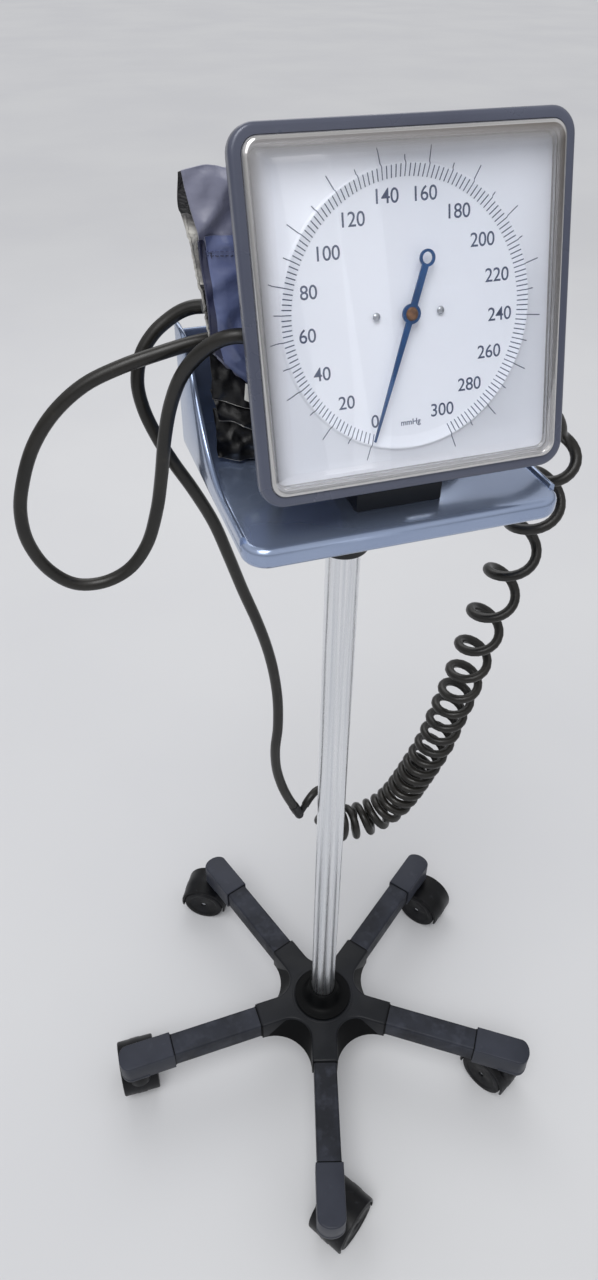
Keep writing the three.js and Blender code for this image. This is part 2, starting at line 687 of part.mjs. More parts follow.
function trayBody() {
  const top = TRAY_TOP + TRAY_WALL_HEIGHT;
  const plate = prism(trayPlan(0), TRAY_BOTTOM, TRAY_TOP, TRAY_EDGE);
  const outer = prism(trayPlan(0), TRAY_BOTTOM + TRAY_EDGE, top);
  const ring = cut(outer, prism(trayPlan(TRAY_WALL), TRAY_BOTTOM, top + 1));
  const walls = common(ring, alongX(wallOutline(), -TRAY_WIDTH, TRAY_WIDTH, 4));
  const hollow = prism(trayPlan(TRAY_EDGE + TRAY_SKIN), TRAY_BOTTOM - 1, TRAY_TOP - TRAY_SKIN);
  const boss = post(TRAY_BOSS_RADIUS, TRAY_BOTTOM - 2, TRAY_TOP, 28);
  return cut(join(plate, walls), cut(hollow, boss));
}

// Gauge bracket on the tray

function bracket() {
  const foot = TRAY_TOP + GAP;
  const back = PIVOT_Y + EAR_RADIUS;
  const base = new THREE.Shape();
  base.moveTo(back, foot);
  base.lineTo(back, TRAY_TOP + BRACKET_STEP_HEIGHT);
  base.lineTo(BRACKET_STEP, TRAY_TOP + BRACKET_STEP_HEIGHT);
  base.lineTo(BRACKET_FRONT + BRACKET_EDGE, TRAY_TOP + BRACKET_FRONT_HEIGHT);
  base.lineTo(BRACKET_FRONT, TRAY_TOP + BRACKET_FRONT_HEIGHT - BRACKET_EDGE);
  base.lineTo(BRACKET_FRONT, foot);
  base.closePath();
  const ear = new THREE.Shape();
  ear.moveTo(PIVOT_Y - EAR_RADIUS, foot + 1);
  ear.lineTo(PIVOT_Y + EAR_RADIUS, foot + 1);
  ear.absarc(PIVOT_Y, PIVOT_Z, EAR_RADIUS, 0, Math.PI);
  ear.closePath();
  const pinBore = rodAlongX(TILT_PIN_RADIUS + GAP, -BRACKET_WIDTH, BRACKET_WIDTH, 16);
  const body = join(
    alongX(base, -BRACKET_WIDTH / 2, BRACKET_WIDTH / 2),
    alongX(ear, EAR_INNER, EAR_INNER + EAR_WIDTH, 6),
    alongX(ear, -EAR_INNER - EAR_WIDTH, -EAR_INNER, 6),
  );
  return cut(body, pinBore.translate(0, PIVOT_Y, PIVOT_Z));
}

function tiltPin() {
  const seat = EAR_INNER + EAR_WIDTH + GAP;
  return join(
    rodAlongX(TILT_PIN_RADIUS, -seat - 1, seat + 1, 16),
    rodAlongX(TILT_PIN_HEAD_RADIUS, seat, seat + TILT_PIN_HEAD, 6),
    rodAlongX(TILT_PIN_HEAD_RADIUS, -seat - TILT_PIN_HEAD, -seat, 6),
  ).translate(0, PIVOT_Y, PIVOT_Z);
}

// Gauge, in its own group: x to the right, y up the face, z out of the face towards the viewer.

function gaugeHousing() {
  const outline = roundedRectangle(CASE_SIZE, CASE_SIZE, CASE_CORNER);
  const tapered = new THREE.ExtrudeGeometry(outline, {
    depth: CASE_RIM_FRONT - CASE_RIM_BACK,
    bevelEnabled: true,
    bevelThickness: CASE_RIM_BACK - CASE_BACK,
    bevelSize: CASE_TAPER,
    bevelOffset: -CASE_TAPER,
    bevelSegments: 1,
    curveSegments: 3,
  }).translate(0, 0, CASE_RIM_BACK);
  const body = common(tapered, crowned(outline, CASE_BACK - 1, CASE_RIM_FRONT, CASE_EDGE));
  const recess = prism(roundedRectangle(RECESS_SIZE, RECESS_SIZE, DIAL_CORNER), DIAL_SEAT, LENS_FRONT);
  const cavity = roundedRectangle(CASE_CAVITY_SIZE, CASE_CAVITY_SIZE, DIAL_CORNER);
  return cut(body, recess, prism(cavity, CASE_BACK - 1, 0));
}

// The back cover with the lug that the gauge tilts on.
function gaugeBack() {
  const outline = roundedRectangle(CASE_BACK_SIZE, CASE_BACK_SIZE, CASE_BACK_CORNER);
  const plate = prism(outline, COVER_BACK, COVER_FRONT, BACK_COVER_EDGE);
  const half = LUG_WIDTH / 2;
  const web = block(-half, half, -PIVOT_DROP - LUG_RADIUS, -PIVOT_DROP + LUG_RADIUS, PIVOT_DEPTH, COVER_BACK + 1);
  const eye = rodAlongX(LUG_RADIUS, -half, half).translate(0, -PIVOT_DROP, PIVOT_DEPTH);
  const bore = rodAlongX(TILT_PIN_RADIUS + GAP, -half - 1, half + 1, 16);
  return cut(join(plate, web, eye), bore.translate(0, -PIVOT_DROP, PIVOT_DEPTH));
}

function lensShell() {
  const outer = crowned(roundedRectangle(DIAL_SIZE, DIAL_SIZE, DIAL_CORNER), GAP, LENS_FRONT, LENS_EDGE);
  const inside = DIAL_SIZE - 2 * LENS_WALL;
  const space = roundedRectangle(inside, inside, DIAL_CORNER - LENS_WALL);
  return cut(outer, prism(space, 0, LENS_FRONT - LENS_PANE));
}

function dialPlate() {
  const plate = prism(roundedRectangle(DIAL_SIZE, DIAL_SIZE, DIAL_CORNER), -DIAL_THICKNESS, 0);
  const holes = [post(DIAL_HOLE_RADIUS, -2 * DIAL_THICKNESS, 1, 20)];
  for (const x of [-DIAL_SCREW_OFFSET, DIAL_SCREW_OFFSET]) {
    holes.push(post(DIAL_SCREW_SHANK + GAP, -2 * DIAL_THICKNESS, 1, 12).translate(x, 0, 0));
  }
  return cut(plate, ...holes);
}

function dialScrew() {
  const profile = [
    [0, -DIAL_THICKNESS - DIAL_SCREW_LENGTH],
    [DIAL_SCREW_SHANK, -DIAL_THICKNESS - DIAL_SCREW_LENGTH],
    [DIAL_SCREW_SHANK, GAP],
    [DIAL_SCREW_RADIUS, GAP],
  ];
  const steps = 3;
  for (let step = 1; step <= steps; step += 1) {
    const turn = (Math.PI / 2) * (step / steps);
    profile.push([DIAL_SCREW_RADIUS * Math.cos(turn), GAP + DIAL_SCREW_DOME * Math.sin(turn)]);
  }
  return turned(profile, 12);
}

// The pointer as it stands at twelve o'clock, with its ringed tail.
function pointerNeedle() {
  const front = POINTER_BACK + POINTER_THICKNESS;
  const tail = POINTER_ROOT_WIDTH / 2;
  const tip = POINTER_TIP_WIDTH / 2;
  const arm = new THREE.Shape();
  arm.moveTo(-tail, -POINTER_TAIL + POINTER_RING_RADIUS);
  arm.lineTo(tail, -POINTER_TAIL + POINTER_RING_RADIUS);
  arm.lineTo(tail, 0);
  arm.lineTo(tip, POINTER_REACH);
  arm.lineTo(-tip, POINTER_REACH);
  arm.lineTo(-tail, 0);
  arm.closePath();
  const ringY = -POINTER_TAIL + POINTER_RING_RADIUS;
  const ring = post(POINTER_RING_RADIUS, POINTER_BACK, front, 20).translate(0, ringY, 0);
  const hole = post(POINTER_RING_HOLE, 0, front + 1, 16).translate(0, ringY, 0);
  const hub = post(POINTER_HUB_RADIUS, POINTER_BACK, front, 24);
  const bore = post(SHAFT_RADIUS + GAP, 0, front + 1, 8);
  return cut(join(prism(arm, POINTER_BACK, front), ring, hub), hole, bore);
}

// Gear teeth about the origin: the first and last tooth by number, number 0 at twelve o'clock plus a phase.
function toothPoints(teeth, first, last, phase) {
  const pitchRadius = (GEAR_MODULE * teeth) / 2;
  const root = pitchRadius - TOOTH_ROOT_DEPTH;
  const tip = pitchRadius + TOOTH_TIP_HEIGHT;
  const pitch = 360 / teeth;
  const points = [];
  for (let tooth = first; tooth <= last; tooth += 1) {
    const middle = phase + tooth * pitch;
    const corners = [
      [root, -TOOTH_ROOT_SHARE],
      [tip, -TOOTH_TIP_SHARE],
      [tip, TOOTH_TIP_SHARE],
      [root, TOOTH_ROOT_SHARE],
    ];
    for (const [radius, share] of corners) {
      const turn = rad(middle + share * pitch);
      points.push(new THREE.Vector2(radius * Math.sin(turn), radius * Math.cos(turn)));
    }
  }
  return points;
}

function pinionShaft() {
  const halfTooth = 180 / PINION_TEETH;
  const wheel = new THREE.Shape(toothPoints(PINION_TEETH, 0, PINION_TEETH - 1, halfTooth));
  const capSeat = POINTER_BACK + POINTER_THICKNESS + GAP;
  const cap = turned(
    [
      [0, capSeat],
      [SHAFT_CAP_RADIUS, capSeat],
      [SHAFT_CAP_TOP_RADIUS, capSeat + SHAFT_CAP_SHOULDER],
      [0, capSeat + SHAFT_CAP_HEIGHT],
    ],
    20,
  );
  return join(
    post(SHAFT_RADIUS, FRAME_BACK - GAP, capSeat + SHAFT_CAP_HEIGHT / 2, 8),
    prism(wheel, GEAR_BACK, GEAR_FRONT),
    cap,
  );
}

// The toothed sector about its own arbor, as it stands with the pointer at zero.
function sectorGear() {
  const teeth = toothPoints(SECTOR_TEETH, SECTOR_FIRST_TOOTH, SECTOR_LAST_TOOTH, 0);
  const shape = new THREE.Shape([new THREE.Vector2(0, 0), ...teeth]);
  const tail = post(SECTOR_TAIL_RADIUS, GEAR_BACK, GEAR_FRONT, 20);
  const arbor = post(SHAFT_RADIUS, FRAME_BACK - GAP, FRAME_FRONT + GAP, 8);
  return join(prism(shape, GEAR_BACK, GEAR_FRONT), tail, arbor);
}

function movementFrame() {
  const width = FRAME_WIDTH;
  const height = FRAME_TOP - FRAME_BOTTOM;
  const middle = (FRAME_TOP + FRAME_BOTTOM) / 2;
  const outline = roundedRectangle(width, height, PILLAR_INSET);
  const plates = [
    prism(outline, FRAME_FRONT_BACK, FRAME_FRONT, 0, 1).translate(0, middle, 0),
    prism(outline, FRAME_BACK, FRAME_BACK_FRONT, 0, 1).translate(0, middle, 0),
  ];
  const legs = [];
  for (const x of [-1, 1]) {
    for (const y of [FRAME_BOTTOM + PILLAR_INSET, FRAME_TOP - PILLAR_INSET]) {
      const leg = post(FRAME_LEG_RADIUS, COVER_FRONT + GAP, FRAME_FRONT, 8);
      legs.push(leg.translate(x * (width / 2 - PILLAR_INSET), y, 0));
    }
  }
  const holes = [0, -GEAR_DISTANCE].map((y) => {
    return post(SHAFT_RADIUS + GAP, FRAME_BACK - 1, FRAME_FRONT + 1, 8).translate(0, y, 0);
  });
  return cut(join(...plates, ...legs), ...holes);
}

// The pressure capsule: two waved discs, a seat on the back cover and a stud towards the movement.
function pressureCapsule() {
  const inner = CAPSULE_SEAT_RADIUS + CAPSULE_RIM;
  const waveStep = (CAPSULE_RADIUS - CAPSULE_RIM - inner) / (2 * CAPSULE_WAVES);
  const wave = (index) => (index % 2 ? CAPSULE_WAVE : 0);
  const back = [];
  const front = [];
  for (let index = 0; index <= 2 * CAPSULE_WAVES; index += 1) {
    const radius = inner + index * waveStep;
    back.push([radius, CAPSULE_BACK + wave(index)]);
    front.unshift([radius, CAPSULE_FRONT - wave(index)]);
  }
  return turned([
    [0, COVER_FRONT + GAP],
    [CAPSULE_SEAT_RADIUS, COVER_FRONT + GAP],
    [CAPSULE_SEAT_RADIUS, CAPSULE_BACK],
    ...back,
    [CAPSULE_RADIUS, (CAPSULE_BACK + CAPSULE_FRONT) / 2],
    ...front,
    [CAPSULE_STUD_RADIUS, CAPSULE_FRONT],
    [CAPSULE_STUD_RADIUS, FRAME_BACK - 2 * GAP],
    [0, FRAME_BACK - 2 * GAP],
  ], 16);
}

// A flat spiral seated on the frame's back plate.
function hairspring() {
  const perTurn = 10;
  const outer = [];
  const inner = [];
  for (let step = 0; step <= HAIRSPRING_TURNS * perTurn; step += 1) {
    const turn = (2 * Math.PI * step) / perTurn;
    const radius = HAIRSPRING_INNER_RADIUS + (HAIRSPRING_PITCH * step) / perTurn;
    const outside = radius + HAIRSPRING_THICKNESS;
    outer.push(new THREE.Vector2(outside * Math.cos(turn), outside * Math.sin(turn)));
    inner.unshift(new THREE.Vector2(radius * Math.cos(turn), radius * Math.sin(turn)));
  }
  const back = FRAME_BACK_FRONT + GAP;
  return prism(new THREE.Shape([...outer, ...inner]), back, back + HAIRSPRING_WIDTH);
}

// An elbow from the back cover to the tilt axis, so that the hose stays still when the gauge tilts.
function pressurePort() {
  const seat = COVER_BACK - GAP;
  const flange = post(PORT_FLANGE_RADIUS, seat - PORT_FLANGE, seat, 20);
  const riser = post(PORT_RADIUS, PIVOT_DEPTH, seat - 1, 16);
  const corner = new THREE.SphereGeometry(PORT_RADIUS, 12, 8).translate(0, 0, PIVOT_DEPTH);
  const barb = rodAlongX(COIL_TUBE_RADIUS, 0, PORT_REACH - PORT_X, 16).translate(0, 0, PIVOT_DEPTH);
  return join(flange, riser, corner, barb).translate(PORT_X, -PIVOT_DROP, 0);
}

function gauge() {
  const group = new THREE.Group();
  group.position.set(0, SCALE_Y, SCALE_Z);
  group.rotation.x = rad(90 - LEAN);
  piece(group, "gauge_housing", gaugeHousing(), "slate");
  piece(group, "gauge_back", gaugeBack(), "slate");
  piece(group, "lens", lensShell(), "clear");
  piece(group, "dial_plate", dialPlate(), "dialWhite");
  piece(group, "dial_screw_left", dialScrew(), "steel").position.x = -DIAL_SCREW_OFFSET;
  piece(group, "dial_screw_right", dialScrew(), "steel").position.x = DIAL_SCREW_OFFSET;
  piece(group, "pointer", pointerNeedle(), "pointerBlue").rotation.z = rad(-POINTER_REST);
  piece(group, "pinion_shaft", pinionShaft(), "brass");
  piece(group, "sector_gear", sectorGear(), "brass").position.y = -GEAR_DISTANCE;
  piece(group, "movement_frame", movementFrame(), "brass");
  piece(group, "pressure_capsule", pressureCapsule(), "brass");
  piece(group, "hairspring", hairspring(), "steel");
  piece(group, "pressure_port", pressurePort(), "blackPlastic");
  return group;
}

// Cuff

// The band's plan: a spiral drawn out flat, straight along x and round at both ends.
function cuffPlan() {
  const straight = CUFF_LENGTH / 2 - CUFF_FIRST_RADIUS - CUFF_TURNS * (CUFF_LAYER + CUFF_LAYER_GAP);
  const perHalf = 6;
  const pitch = CUFF_LAYER + CUFF_LAYER_GAP;
  const sides = { outer: [], inner: [] };
  for (let step = 0; step <= 2 * perHalf * CUFF_TURNS; step += 1) {
    const turn = (Math.PI * step) / perHalf;
    const radius = CUFF_FIRST_RADIUS + (pitch * step) / (2 * perHalf);
    const ends = step % perHalf === perHalf / 2 ? [1, -1] : [Math.sign(Math.cos(turn))];
    if (step % (2 * perHalf) > perHalf) ends.reverse();
    for (const end of ends) {
      for (const [side, offset] of [["outer", CUFF_LAYER / 2], ["inner", -CUFF_LAYER / 2]]) {
        const x = end * straight + (radius + offset) * Math.cos(turn);
        sides[side].push(new THREE.Vector2(x, (radius + offset) * Math.sin(turn)));
      }
    }
  }
  return new THREE.Shape([...sides.outer, ...sides.inner.reverse()]);
}

// The band stands on the tray, leans over to the left and sags a little between its ends.
function cuffPack() {
  const geometry = new THREE.ExtrudeGeometry(cuffPlan(), {
    depth: CUFF_HEIGHT,
    steps: CUFF_STEPS,
    bevelEnabled: false,
  });
  const position = geometry.attributes.position;
  for (let index = 0; index < position.count; index += 1) {
    const along = position.getX(index) / (CUFF_LENGTH / 2);
    const height = position.getZ(index) / CUFF_HEIGHT;
    const lean = CUFF_LEAN * CUFF_HEIGHT * (height - 0.5);
    const sag = CUFF_SAG * height * height * (1 - along * along);
    position.setX(index, position.getX(index) - lean);
    position.setZ(index, position.getZ(index) - sag);
  }
  return geometry.translate(CUFF_MIDDLE_X, CUFF_MIDDLE_Y, TRAY_TOP + GAP);
}

// Bulb and valve, lying along x

function bulbBody() {
  const half = (BULB_LENGTH - BULB_NECK_LENGTH) / 2;
  const profile = [
    [0, 0],
    [BULB_NECK_RADIUS, 0],
    [BULB_NECK_RADIUS, BULB_NECK_LENGTH],
  ];
  const steps = 10;
  for (let step = 2; step <= steps; step += 1) {
    const turn = (Math.PI * step) / steps;
    profile.push([BULB_RADIUS * Math.sin(turn), BULB_NECK_LENGTH + half * (1 - Math.cos(turn))]);
  }
  profile.at(-1)[0] = 0;
  return turned(profile, 20).rotateY(Math.PI / 2);
}

function bulbValve() {
  const end = -GAP - VALVE_LENGTH;
  const body = rodAlongX(VALVE_RADIUS, end, -GAP, 20);
  const barb = rodAlongX(BARB_RADIUS, end - BARB_LENGTH, end + 1, 16);
  const seat = post(KNOB_SEAT_RADIUS, 0, VALVE_RADIUS + KNOB_SEAT_HEIGHT, 16).translate(end / 2, 0, 0);
  return join(body, barb, seat);
}

function valveKnob() {
  const points = [];
  for (let index = 0; index < 2 * KNOB_RIDGES; index += 1) {
    const turn = (Math.PI * index) / KNOB_RIDGES;
    const radius = KNOB_RADIUS - (index % 2) * KNOB_RIDGE;
    points.push(new THREE.Vector2(radius * Math.cos(turn), radius * Math.sin(turn)));
  }
  return prism(new THREE.Shape(points), 0, KNOB_HEIGHT);
}

function bulbSet() {
  const group = new THREE.Group();
  group.position.set(BULB_START_X, BULB_Y, TRAY_TOP + GAP + BULB_RADIUS);
  piece(group, "bulb", bulbBody(), "rubber");
  piece(group, "bulb_valve", bulbValve(), "steel");
  const knob = piece(group, "valve_knob", valveKnob(), "steel");
  knob.position.set((-GAP - VALVE_LENGTH) / 2, 0, VALVE_RADIUS + KNOB_SEAT_HEIGHT + GAP);
  return group;
}

// Hoses

function curveThrough(points) {
  return new THREE.CatmullRomCurve3(points.map((point) => new THREE.Vector3(...point)));
}

// A plain hose along a route, with one step for every two diameters or so.
function hose(route, radius) {
  const path = curveThrough(route);
  const section = new THREE.Shape();
  section.absarc(0, 0, radius, 0, 2 * Math.PI);
  return new THREE.ExtrudeGeometry(section, {
    steps: Math.round(path.getLength() / (4 * radius)),
    curveSegments: HOSE_SIDES / 2,
    extrudePath: path,
  });
}

function smooth(value) {
  return THREE.MathUtils.smoothstep(value, 0, 1);
}

function pitchAt(distance) {
  const next = COIL_PITCH.findIndex(([along]) => along >= distance);
  if (next < 0) return COIL_PITCH.at(-1)[1];
  if (next === 0) return COIL_PITCH[0][1];
  const [from, low] = COIL_PITCH[next - 1];
  const [to, high] = COIL_PITCH[next];
  return THREE.MathUtils.mapLinear(distance, from, to, low, high);
}

// Close points along the coiled tube's middle, and which of them carry a ring of the tube.
function coilWinding() {
  const knots = [...COIL_TAIL, ...COIL_MIDDLE, ...COIL_LEAD];
  const perKnot = 120;
  const line = curveThrough(knots).getPoints(perKnot * (knots.length - 1));
  const along = [0];
  for (let index = 1; index < line.length; index += 1) {
    along.push(along[index - 1] + line[index].distanceTo(line[index - 1]));
  }
  const start = along[perKnot * COIL_TAIL.length];
  const end = along[perKnot * (COIL_TAIL.length + COIL_MIDDLE.length - 1)];
  const side = new THREE.Vector3(0, 1, 0);
  const points = [];
  const rings = [0];
  let turn = COIL_START_TURN - (2 * Math.PI * start) / COIL_PITCH[0][1];
  let progress = 0;
  for (let index = 0; index < line.length; index += 1) {
    const next = line[Math.min(index + 1, line.length - 1)];
    const ahead = next.clone().sub(line[Math.max(index - 1, 0)]).normalize();
    side.addScaledVector(ahead, -side.dot(ahead)).normalize();
    const other = new THREE.Vector3().crossVectors(ahead, side);
    const opening = smooth((along[index] - start + COIL_RAMP_IN) / COIL_RAMP_LENGTH);
    const closing = smooth((end + COIL_RAMP_OUT - along[index]) / (COIL_RAMP_LENGTH + COIL_RAMP_OUT / 2));
    const radius = COIL_RADIUS * opening * closing;
    const point = line[index].clone();
    point.addScaledVector(side, radius * Math.cos(turn));
    points.push(point.addScaledVector(other, radius * Math.sin(turn)));
    if (index === line.length - 1) break;
    const stretch = along[index + 1] - along[index];
    const share = stretch / pitchAt(along[index] - start);
    turn += 2 * Math.PI * share;
    const before = Math.floor(progress);
    progress += radius > 0 ? COIL_STEPS * share : stretch / (2 * COIL_TUBE_RADIUS);
    if (Math.floor(progress) > before) rings.push(index + 1);
  }
  rings.push(points.length - 1);
  return { points, rings };
}

// One closed tube with a ring at each of the given points, its ends cut square.
function ringedTube(points, rings, radius, sides) {
  const positions = [];
  const triangles = [];
  const side = new THREE.Vector3(0, 1, 0);
  for (const ring of rings) {
    const next = points[Math.min(ring + 1, points.length - 1)];
    const ahead = next.clone().sub(points[Math.max(ring - 1, 0)]).normalize();
    side.addScaledVector(ahead, -side.dot(ahead)).normalize();
    const other = new THREE.Vector3().crossVectors(ahead, side);
    for (let corner = 0; corner < sides; corner += 1) {
      const turn = (2 * Math.PI * corner) / sides;
      const vertex = points[ring].clone().addScaledVector(side, radius * Math.cos(turn));
      positions.push(...vertex.addScaledVector(other, radius * Math.sin(turn)).toArray());
    }
  }
  for (let ring = 0; ring < rings.length - 1; ring += 1) {
    for (let corner = 0; corner < sides; corner += 1) {
      const a = ring * sides + corner;
      const b = ring * sides + ((corner + 1) % sides);
      triangles.push(a, b, b + sides, a, b + sides, a + sides);
    }
  }
  const last = (rings.length - 1) * sides;
  for (let corner = 1; corner < sides - 1; corner += 1) {
    triangles.push(0, corner + 1, corner, last, last + corner, last + corner + 1);
  }
  const geometry = new THREE.BufferGeometry();
  geometry.setAttribute("position", new THREE.Float32BufferAttribute(positions, 3));
  geometry.setIndex(triangles);
  return geometry;
}

// The least room between two stretches of a tube that are more than three diameters apart along it.
function leastGap(points, radius) {
  const along = [0];
  for (let index = 1; index < points.length; index += 1) {
    along.push(along[index - 1] + points[index].distanceTo(points[index - 1]));
  }
  let least = Infinity;
  points.forEach((point, index) => {
    for (let other = index + 1; other < points.length; other += 1) {
      if (along[other] - along[index] < 6 * radius) continue;
      least = Math.min(least, point.distanceTo(points[other]));
    }
  });
  return { gap: least - 2 * radius, length: along.at(-1) };
}

function coilHose() {
  const { points, rings } = coilWinding();
  const { gap, length } = leastGap(points, COIL_TUBE_RADIUS);
  console.log(`coil_hose: ${length.toFixed(0)} mm long, least gap to itself ${gap.toFixed(2)} mm`);
  if (gap < LEAST_COIL_GAP) throw new Error("the turns of coil_hose touch");
  return ringedTube(points, rings, COIL_TUBE_RADIUS, COIL_SIDES);
}

function rodBetween(from, to, radius, segments = 12) {
  const way = to.clone().sub(from);
  const geometry = post(radius, 0, way.length(), segments);
  const up = new THREE.Vector3(0, 0, 1);
  geometry.applyQuaternion(new THREE.Quaternion().setFromUnitVectors(up, way.normalize()));
  return geometry.translate(from.x, from.y, from.z);
}

// A straight socket on the cuff's hose and an elbow plug on the coiled hose's tail.
function connector(parent) {
  const [before, end] = CUFF_HOSE_ROUTE.slice(-2).map((point) => new THREE.Vector3(...point));
  const down = end.clone().sub(before).normalize();
  const at = (distance) => end.clone().addScaledVector(down, distance);
  const socketEnd = GAP + CONNECTOR_LENGTH;
  const corner = at(socketEnd + GAP + PLUG_LENGTH);
  const tail = new THREE.Vector3(...COIL_TAIL[0]);
  const tip = tail.clone().add(corner.clone().sub(tail).setLength(GAP));
  const bend = new THREE.SphereGeometry(PLUG_RADIUS, 12, 8).translate(...corner.toArray());
  const plug = join(
    rodBetween(at(socketEnd + GAP), corner, PLUG_RADIUS),
    bend,
    rodBetween(corner, tip, ELBOW_RADIUS),
  );
  piece(parent, "hose_connector_socket", rodBetween(at(GAP), at(socketEnd), CONNECTOR_RADIUS), "blackPlastic");
  piece(parent, "hose_connector_plug", plug, "blackPlastic");
}

// The whole object, about the pole's axis

function base() {
  const group = new THREE.Group();
  piece(group, "base_hub", baseHub(), "charcoal");
  piece(group, "hub_collar", hubCollar(), "blackPlastic");
  piece(group, "pole_bolt", poleBolt(), "steel");
  for (let index = 0; index < ARM_COUNT; index += 1) {
    const arm = new THREE.Group();
    arm.rotation.z = armAngle(index);
    piece(arm, `arm_tube_${index + 1}`, armTube(), "charcoal");
    piece(arm, `arm_cap_${index + 1}`, armCap(), "blackPlastic");
    const wheelSet = castor(index + 1, rad(CASTOR_TURNS[index]) - armAngle(index));
    wheelSet.position.x = STEM_CIRCLE_RADIUS;
    arm.add(wheelSet);
    group.add(arm);
  }
  return group;
}

function hoses() {
  const group = new THREE.Group();
  piece(group, "bulb_hose", hose(BULB_HOSE_ROUTE, HOSE_RADIUS), "rubber");
  piece(group, "cuff_hose", hose(CUFF_HOSE_ROUTE, HOSE_RADIUS), "rubber");
  piece(group, "coil_hose", coilHose(), "rubber");
  connector(group);
  return group;
}

const object = new THREE.Group();
object.add(base());
piece(object, "pole", poleTube(), "aluminium");
piece(object, "tray_socket", traySocket(), "blackPlastic");
piece(object, "tray", trayBody(), "trayBlue");
piece(object, "gauge_bracket", bracket(), "blackPlastic");
piece(object, "tilt_pin", tiltPin(), "steel");
object.add(gauge());
piece(object, "cuff", cuffPack(), "navy");
object.add(bulbSet());

// The origin is on the floor, at the middle of everything but the hoses.
const footprint = new THREE.Box3().setFromObject(object, true).getCenter(new THREE.Vector3());
object.add(hoses());
object.position.set(-footprint.x, -footprint.y, 0);

const sphygmomanometer = new THREE.Group();
sphygmomanometer.add(object);

export default sphygmomanometer;
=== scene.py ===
from math import copysign, cos, degrees, exp, hypot, isnan, log, nan, pi, radians, sin, sqrt, tan

import bmesh
import bpy
import numpy as np
from mathutils import Matrix, Vector, noise


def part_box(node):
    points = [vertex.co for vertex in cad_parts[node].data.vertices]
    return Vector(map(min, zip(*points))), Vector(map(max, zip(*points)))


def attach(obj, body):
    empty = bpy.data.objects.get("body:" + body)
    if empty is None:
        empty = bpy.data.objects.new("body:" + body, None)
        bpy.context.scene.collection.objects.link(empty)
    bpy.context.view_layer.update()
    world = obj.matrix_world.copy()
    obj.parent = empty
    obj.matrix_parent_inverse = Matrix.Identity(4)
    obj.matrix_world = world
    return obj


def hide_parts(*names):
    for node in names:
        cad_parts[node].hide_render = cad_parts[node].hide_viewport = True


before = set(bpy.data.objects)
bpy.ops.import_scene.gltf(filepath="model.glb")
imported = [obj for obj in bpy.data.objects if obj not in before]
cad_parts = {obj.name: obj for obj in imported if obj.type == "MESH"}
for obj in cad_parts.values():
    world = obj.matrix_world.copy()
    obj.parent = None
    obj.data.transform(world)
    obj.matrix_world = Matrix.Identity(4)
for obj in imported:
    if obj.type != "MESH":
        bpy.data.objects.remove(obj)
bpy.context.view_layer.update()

# Places below are written in millimetres about the pole's axis, with the floor at z = 0.
pole_low, pole_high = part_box("pole")
AXIS = Vector(((pole_low.x + pole_high.x) / 2, (pole_low.y + pole_high.y) / 2, 0))


def at(x, y, z):
    return AXIS + Vector((x, y, z)) * 0.001


def placed(name, data):
    """A new object in the scene."""
    obj = bpy.data.objects.new(name, data)
    bpy.context.scene.collection.objects.link(obj)
    return obj


def wobble(x, y, z):
    """Smooth noise, about -1 to 1."""
    return noise.noise(Vector((x, y, z)))


# Camera: its frame's height and focal length in pixels

FRAME_HEIGHT, FOCAL, SENSOR = 1280, 887.9, 36
CAMERA = (-194.9, -483.2, 1042.4)
YAW, PITCH, ROLL = radians(18.61), radians(39.73), radians(0.54)


def make_camera():
    ahead = Vector((sin(YAW) * cos(PITCH), cos(YAW) * cos(PITCH), -sin(PITCH)))
    level = Vector((cos(YAW), -sin(YAW), 0))
    up = level.cross(ahead)
    right = level * cos(ROLL) + up * sin(ROLL)
    up = up * cos(ROLL) - level * sin(ROLL)
    data = bpy.data.cameras.new("camera")
    data.sensor_fit = "AUTO"
    data.sensor_width = SENSOR
    data.lens = FOCAL / FRAME_HEIGHT * SENSOR
    data.clip_start, data.clip_end = 0.01, 50
    camera = placed("camera", data)
    turn = Matrix((right, up, -ahead)).transposed()
    camera.matrix_world = Matrix.Translation(at(*CAMERA)) @ turn.to_4x4()
    bpy.context.scene.camera = camera


make_camera()


# Curves

def through(knots, per):
    """Points on a centripetal Catmull-Rom curve through the knots."""
    knots = np.array(knots, float)
    ends = np.vstack([2 * knots[0] - knots[1], knots, 2 * knots[-1] - knots[-2]])
    t = np.linspace(0, 1, per, endpoint=False)[:, None]
    points = []
    for index in range(len(knots) - 1):
        p0, p1, p2, p3 = ends[index:index + 4]
        a, b, c = (sqrt(np.linalg.norm(q - p)) for p, q in ((p0, p1), (p1, p2), (p2, p3)))
        m1 = ((p1 - p0) / a - (p2 - p0) / (a + b) + (p2 - p1) / b) * b
        m2 = ((p2 - p1) / b - (p3 - p1) / (b + c) + (p3 - p2) / c) * b
        points.append(p1 + m1 * t + (-3 * p1 + 3 * p2 - 2 * m1 - m2) * t ** 2
                      + (2 * p1 - 2 * p2 + m1 + m2) * t ** 3)
    return np.vstack(points + [knots[-1:]])


def along(points):
    """How far each point lies along the line."""
    return np.concatenate([[0], np.cumsum(np.linalg.norm(np.diff(points, axis=0), axis=1))])


